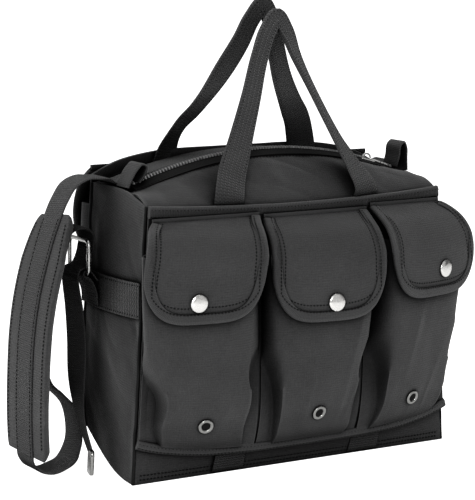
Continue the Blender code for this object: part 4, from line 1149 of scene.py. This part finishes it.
def build_handles():
    for side, word in SIDES:
        share = np.linspace(0, 1, 170)
        line = path([(x, side * y, z) for x, y, z in HANDLE_POINTS[side]])(share)
        run = tangents(line)
        twist = np.radians(HANDLE_TWIST[side](share))
        facing = stack(np.sin(twist), side * np.cos(twist), 0.14)
        across = unit(np.cross(facing, run))
        out = unit(np.cross(run, across))
        out = out * np.sign((out * facing).sum(-1, keepdims=True))
        width, thick = HANDLE_WIDTH[side](share), HANDLE_THICK(share)
        line = line + out * (noise(line, 40.0, 61) * 0.8)[:, None]
        body = f"{word}_handle_loop"
        foot_z = 232.0 if side == FRONT else 262.0
        rides = ("bag", body, (0, side * 51.8, foot_z - 4.0), (0, side * 50.0, foot_z + 22.0))
        profile = webbing_profile(width, thick)
        band(f"{word}_handle_webbing", line, across, out, profile, WEBBING_FINISH, rides, (f"{word}_handle",))
        store = []
        grip = (share > 0.1) & (share < 0.9)
        for sign in (-1, 1):
            beside = across * (sign * (width / 2 - 2.2))[:, None]
            for face in (-1, 1):
                row = line + beside + out * (face * thick / 2)[:, None]
                stitch_row(store, row[grip], out[grip] * face)
        sew(f"{word}_handle_stitches", store, rides)


def strap_height(x):
    u = np.clip(x / (TOP_LENGTH / 2), -1.0, 1.0)
    t = np.array([(0.1, 0.25, 0.4, 0.55, 0.7, 0.9)])
    return top_surface(BACK, np.full_like(t, u), t)[..., 2].max() + 1.8


DROP_PATH = (
    (-151.5, 245.6), (-165.0, 246.2), (-177.0, 241.5), (-187.0, 229.5), (-196.0, 213.0), (-207.5, 182.0),
    (-216.0, 150.0), (-220.5, 120.0), (-222.5, 85.0), (-223.0, 50.0), (-222.0, 20.0),
)
LOOP_PATH = (
    (-222.0, 22.0), (-221.0, 16.0), (-215.5, 8.0), (-205.0, 3.2), (-190.0, 3.2), (-176.0, 7.5), (-167.5, 19.0),
    (-166.0, 34.0), (-170.0, 50.0), (-182.0, 63.5), (-195.0, 76.0), (-202.0, 95.0), (-203.5, 120.0),
    (-201.0, 143.0), (-197.0, 159.0), (-193.7, 171.0), (-192.8, 175.5),
)
TURN_PATH = (
    (-193.4, 171.0), (-190.5, 186.0), (-185.0, 198.0), (-176.0, 205.0), (-166.5, 205.0), (-160.3, 199.0),
    (-161.0, 188.0), (-163.2, 179.5), (-167.5, 172.6), (-173.0, 170.8), (-175.6, 164.0),
)
TAIL_PATH = (
    (-175.8, 165.0), (-175.3, 158.0), (-173.0, 138.0), (-172.0, 110.0), (-174.5, 76.0), (-176.0, 50.0), (-175.5, 22.0)
)
TIP_PATH = ((-175.0, 23.5), (-175.5, 14.0), (-176.0, 3.5))
TAIL_WIDTH = curve(((0.0, 26.0), (0.6, 24.0), (0.85, 20.0), (1.0, 17.0)))
TAIL_ROLL = curve(((0.0, -4.0), (0.35, -10.0), (0.6, -8.0), (0.85, 12.0), (1.0, 18.0)))
PAD_Y = 18.0
RUN_Y = curve((
    (0.0, STRAP_Y), (0.1, 29.0), (0.25, 31.0), (0.6, 31.0), (0.7, 29.0), (0.8, STRAP_Y), (1.0, STRAP_Y)
))
DROP_Y = curve(((0.0, 27.0), (0.08, STRAP_Y), (0.2, 23.0), (0.32, 19.0), (0.4, PAD_Y), (1.0, PAD_Y)))
LOOP_Y = curve((
    (0.0, PAD_Y), (0.12, 22.0), (0.28, 37.0), (0.5, 40.0), (0.65, 33.0), (0.85, 26.5), (1.0, STRAP_Y)
))


def flat_band(name, xz, y, width, rides, stands_for, count, roll=0.0, thickness=1.7, material=STRAP_FINISH):
    """Webbing that follows a path in X and Z.

    y, width and roll, in degrees, are numbers or functions of the path's share.
    """
    share = np.linspace(0, 1, count)
    y, width, roll = (value(share) if callable(value) else np.full(count, value) for value in (y, width, roll))
    spots = path(xz)(share)
    line = stack(spots[:, 0], y, spots[:, 1])
    run = tangents(line)
    across = square_to(np.tile([0.0, 1.0, 0.0], (count, 1)), run)
    out = np.cross(run, across)
    angle = np.radians(roll)[:, None]
    cos, sin = np.cos(angle), np.sin(angle)
    across, out = across * cos + out * sin, out * cos - across * sin
    band(name, line, across, out, webbing_profile(width, thickness), material, rides, stands_for)
    return line, across, out


def ring_line(x):
    """Rounded rectangle of wire in the YZ plane, from the middle of its front side."""
    radius, half, low, high = 5.0, 17.5, RING_LOW, RING_HIGH
    points = []
    for sy, sz, start in CORNERS:
        centre = (STRAP_Y + sy * (half - radius), (low + high) / 2 + sz * ((high - low) / 2 - radius))
        points += [(x, y, z) for y, z in arc(radius, np.linspace(start, start + 90, 9), centre)]
    corners = np.roll(np.array(points), -14, axis=0)
    steps = np.linspace(0, 1, 5)[:-1]
    return [mix(a, b, t) for a, b in zip(corners, np.roll(corners, -1, axis=0)) for t in steps]


def build_rings():
    for x, name, body, node_name in (
        (-RING_X, "left_buckle_wire", "buckle", "left_buckle"), (RING_X, "right_ring_wire", "ring", "right_ring")
    ):
        add_piece(name, *tube(ring_line(x), 1.75, 14, closed=True), RING_FINISH, body, (node_name,))
        joint = np.array([(x, STRAP_Y - 17.5, z) for z in np.linspace(178.5, 184.5, 7)])
        add_piece(f"{name}_joint", *tube(joint, 2.25, 14), RING_FINISH, body)


def tail_y(share):
    return STRAP_Y - 9.0 * share - 27.0 * share**4


def tip_width(share):
    return 17.0 - 3.5 * np.abs(2 * share - 1) ** 6


def build_strap():
    xs = np.linspace(-138.0, 132.0, 28)
    run = [(x, strap_height(x)) for x in xs] + [(144.0, 245.0), (153.0, 238.0), (159.5, 224.0), (163.5, 210.0)]
    run += arc(5.0, [130, 90, 50, 10, -30, -70], (RING_X, RING_HIGH))
    flat_band("strap_across", run, RUN_Y, WEB, "bag", ("strap_run",), 260)
    swing = ("bag", "hanging_strap", (-150.0, STRAP_Y, 245.0), (-176.0, STRAP_Y, 242.0))
    drop = [(x, strap_height(x)) for x in (-128.0, -138.0)] + [(-146.0, 245.2), *DROP_PATH]
    line, across, out = flat_band("strap_hanging", drop, DROP_Y, WEB, swing, ("strap_over_pad",), 220)
    rows = []
    keep = (line[:, 2] < 215.0) & (line[:, 0] < -170.0)
    for edge in (-12.4, 12.4):
        for face in (1, -1):
            row = line + across * edge + out * 1.15 * face
            stitch_row(rows, row[keep], (out * face)[keep], pitch=3.2, length=2.6)
    sew("strap_hanging_stitches", rows, "hanging_strap")
    build_pad(line, across, out)
    loop_rides = ("bag", "hanging_strap", (-194.0, STRAP_Y, 172.0), (-197.0, STRAP_Y, 70.0))
    flat_band("strap_loop", LOOP_PATH, LOOP_Y, WEB, loop_rides, ("strap_lower_loop",), 200)
    turn_stands_for = ("strap_buckle_turn",)
    flat_band("strap_turn", TURN_PATH, STRAP_Y, WEB - 1.5, "buckle", turn_stands_for, 130, thickness=1.9)
    tail_rides = ("buckle", "tail", (-175.6, STRAP_Y, 164.0), (-173.5, STRAP_Y, 146.0))
    flat_band("strap_tail_webbing", TAIL_PATH, tail_y, TAIL_WIDTH, tail_rides, ("strap_tail",), 140, TAIL_ROLL)
    flat_band(
        "strap_tip_clip", TIP_PATH, tail_y(1.0), tip_width, "tail", ("strap_tip",), 24, float(TAIL_ROLL(1.0)),
        thickness=3.2, material=DARK_FINISH,
    )


def build_pad(line, across, out):
    """Foam pad on the body side of the hanging strap, with stitched channels beside the webbing."""
    inward = -out if out[len(out) // 2, 0] < 0 else out
    keep = (line[:, 2] > 19.0) & (line[:, 2] < 219.0) & (line[:, 0] < -170.0)
    line, across, inward = line[keep], across[keep], inward[keep]
    share = travelled(line) / travelled(line)[-1]
    ends = np.clip(np.minimum(share, 1 - share) / 0.035, 0, 1) ** 0.5
    wide = mix(48.0, 70.0, np.clip(share / 0.2, 0, 1) ** 0.6) * mix(0.93, 1.0, ends)
    centre = line + across * -0.5 + inward * 0.9
    steps = 96
    angle = np.linspace(0, 2 * math.pi, steps, endpoint=False)
    a = np.sign(np.cos(angle)) * np.abs(np.cos(angle)) ** 0.35
    b = np.sign(np.sin(angle)) * np.abs(np.sin(angle)) ** 0.6
    profile = np.empty((len(centre), steps, 2))
    profile[..., 0] = a[None] * (wide / 2)[:, None]
    thick = mix(3.0, 9.5, ends)[:, None]
    swell = np.ones((len(centre), steps))
    for seam in (-17.5, 16.5, 27.5, -27.5):
        swell -= 0.38 * np.exp(-(((profile[..., 0] - seam) / 1.6) ** 2))
    edge = np.clip((wide[:, None] / 2 - np.abs(profile[..., 0])) / 7.0, 0, 1) ** 0.5
    depth = thick * mix(0.45, 1.0, edge) * swell
    profile[..., 1] = np.where(b[None] > 0, depth * b[None], 0.5 * b[None])
    puff = noise(sweep(centre, across, inward, profile), 16.0, 81) * 0.5
    profile[..., 1] += np.where(b[None] > 0, puff, 0.0)
    band("pad_cushion", centre, across, inward, profile, CANVAS_FINISH, "hanging_strap", ("shoulder_pad",))
    rows = []
    for offset in (0.44, -0.44):
        spot = centre + across * (wide * offset)[:, None]
        stitch_row(rows, (spot - inward * 1.1)[6:-6], -inward[6:-6], pitch=3.2, length=2.6)
    sew("pad_stitches", rows, "hanging_strap")


# ---------------------------------------------------------------- stage


def build_stage():
    mesh = bpy.data.meshes.new("floor")
    reach = 30.0
    corners = [(-reach, -reach, 0), (reach, -reach, 0), (reach, reach, 0), (-reach, reach, 0)]
    mesh.from_pydata(corners, [], [(0, 1, 2, 3)])
    floor = bpy.data.objects.new("floor", mesh)
    floor.location.z = -0.0004
    bpy.context.scene.collection.objects.link(floor)
    material = bpy.data.materials.new("pale_floor")
    material.use_nodes = True
    shader = material.node_tree.nodes["Principled BSDF"]
    shader.inputs["Base Color"].default_value = (0.9, 0.9, 0.9, 1.0)
    shader.inputs["Roughness"].default_value = 0.9
    shader.inputs["Emission Color"].default_value = (1.0, 1.0, 1.0, 1.0)
    tree = material.node_tree
    seen = node(tree, "ShaderNodeLightPath").outputs["Is Camera Ray"]
    glow = level_of(tree, seen, 0.0, 1.0, 0.5, 1.2)
    tree.links.new(glow, shader.inputs["Emission Strength"])
    mesh.materials.append(material)
    floor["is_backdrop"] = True

    world = bpy.data.worlds.new("studio")
    bpy.context.scene.world = world
    world.use_nodes = True
    tree = world.node_tree
    seen = node(tree, "ShaderNodeLightPath").outputs["Is Camera Ray"]
    towards = node(tree, "ShaderNodeTexCoord").outputs["Generated"]
    rightward = node(tree, "ShaderNodeSeparateXYZ", {0: towards}).outputs[0]
    dimmed = level_of(tree, rightward, 0.1, 0.8, 0.42, 0.1)
    strength = node(tree, "ShaderNodeMix", {0: seen, 2: dimmed, 3: 1.6}, data_type="FLOAT").outputs[0]
    tree.links.new(strength, tree.nodes["Background"].inputs["Strength"])
    tree.nodes["Background"].inputs["Color"].default_value = (1.0, 1.0, 1.0, 1.0)
    for name, place, size, power in (
        ("key", (-1.1, -1.6, 1.0), 0.7, 24.0),
        ("fill", (0.9, -1.6, 0.8), 1.4, 2.0),
        ("top", (0.1, 0.3, 1.9), 1.2, 9.0),
    ):
        data = bpy.data.lights.new(name, "AREA")
        data.size = size
        data.energy = power
        lamp = bpy.data.objects.new(name, data)
        lamp.location = place
        lamp.rotation_euler = (Vector((0, 0, 0.16)) - Vector(place)).to_track_quat("-Z", "Y").to_euler()
        bpy.context.scene.collection.objects.link(lamp)


def build_camera():
    azimuth, elevation, roll = (math.radians(a) for a in (-31.69, 8.99, 0.496))
    back = Vector((
        math.sin(azimuth) * math.cos(elevation), -math.cos(azimuth) * math.cos(elevation), math.sin(elevation)
    ))
    right = Vector((math.cos(azimuth), math.sin(azimuth), 0.0))
    up = back.cross(right)
    turned_right = right * math.cos(roll) + up * math.sin(roll)
    turned_up = up * math.cos(roll) - right * math.sin(roll)
    place = Matrix((turned_right, turned_up, back)).transposed().to_4x4()
    place.translation = (Vector((-28.35, 0.0, 178.6)) + back * 1783.9) * MM
    data = bpy.data.cameras.new("camera")
    data.sensor_width = 36.0
    data.lens = 150.0
    data.clip_start = 0.05
    camera = bpy.data.objects.new("camera", data)
    camera.matrix_world = place
    bpy.context.scene.collection.objects.link(camera)
    bpy.context.scene.camera = camera


def main():
    build_body()
    build_wraps()
    build_end_webbing()
    build_zip()
    for side, word in SIDES:
        build_pocket_panel(side, word)
        for index, place in enumerate(PLACES):
            build_pocket(side, word, index, place)
            build_flap(side, word, index, place)
    build_handles()
    build_rings()
    build_strap()
    finish_carried_nodes()
    build_stage()
    build_camera()


main()
bpy.context.scene.view_settings.view_transform = "Standard"
boxes = {"cad": cad_box, "visual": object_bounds()}
{name: np.array(box, float).tolist() for name, box in boxes.items()}
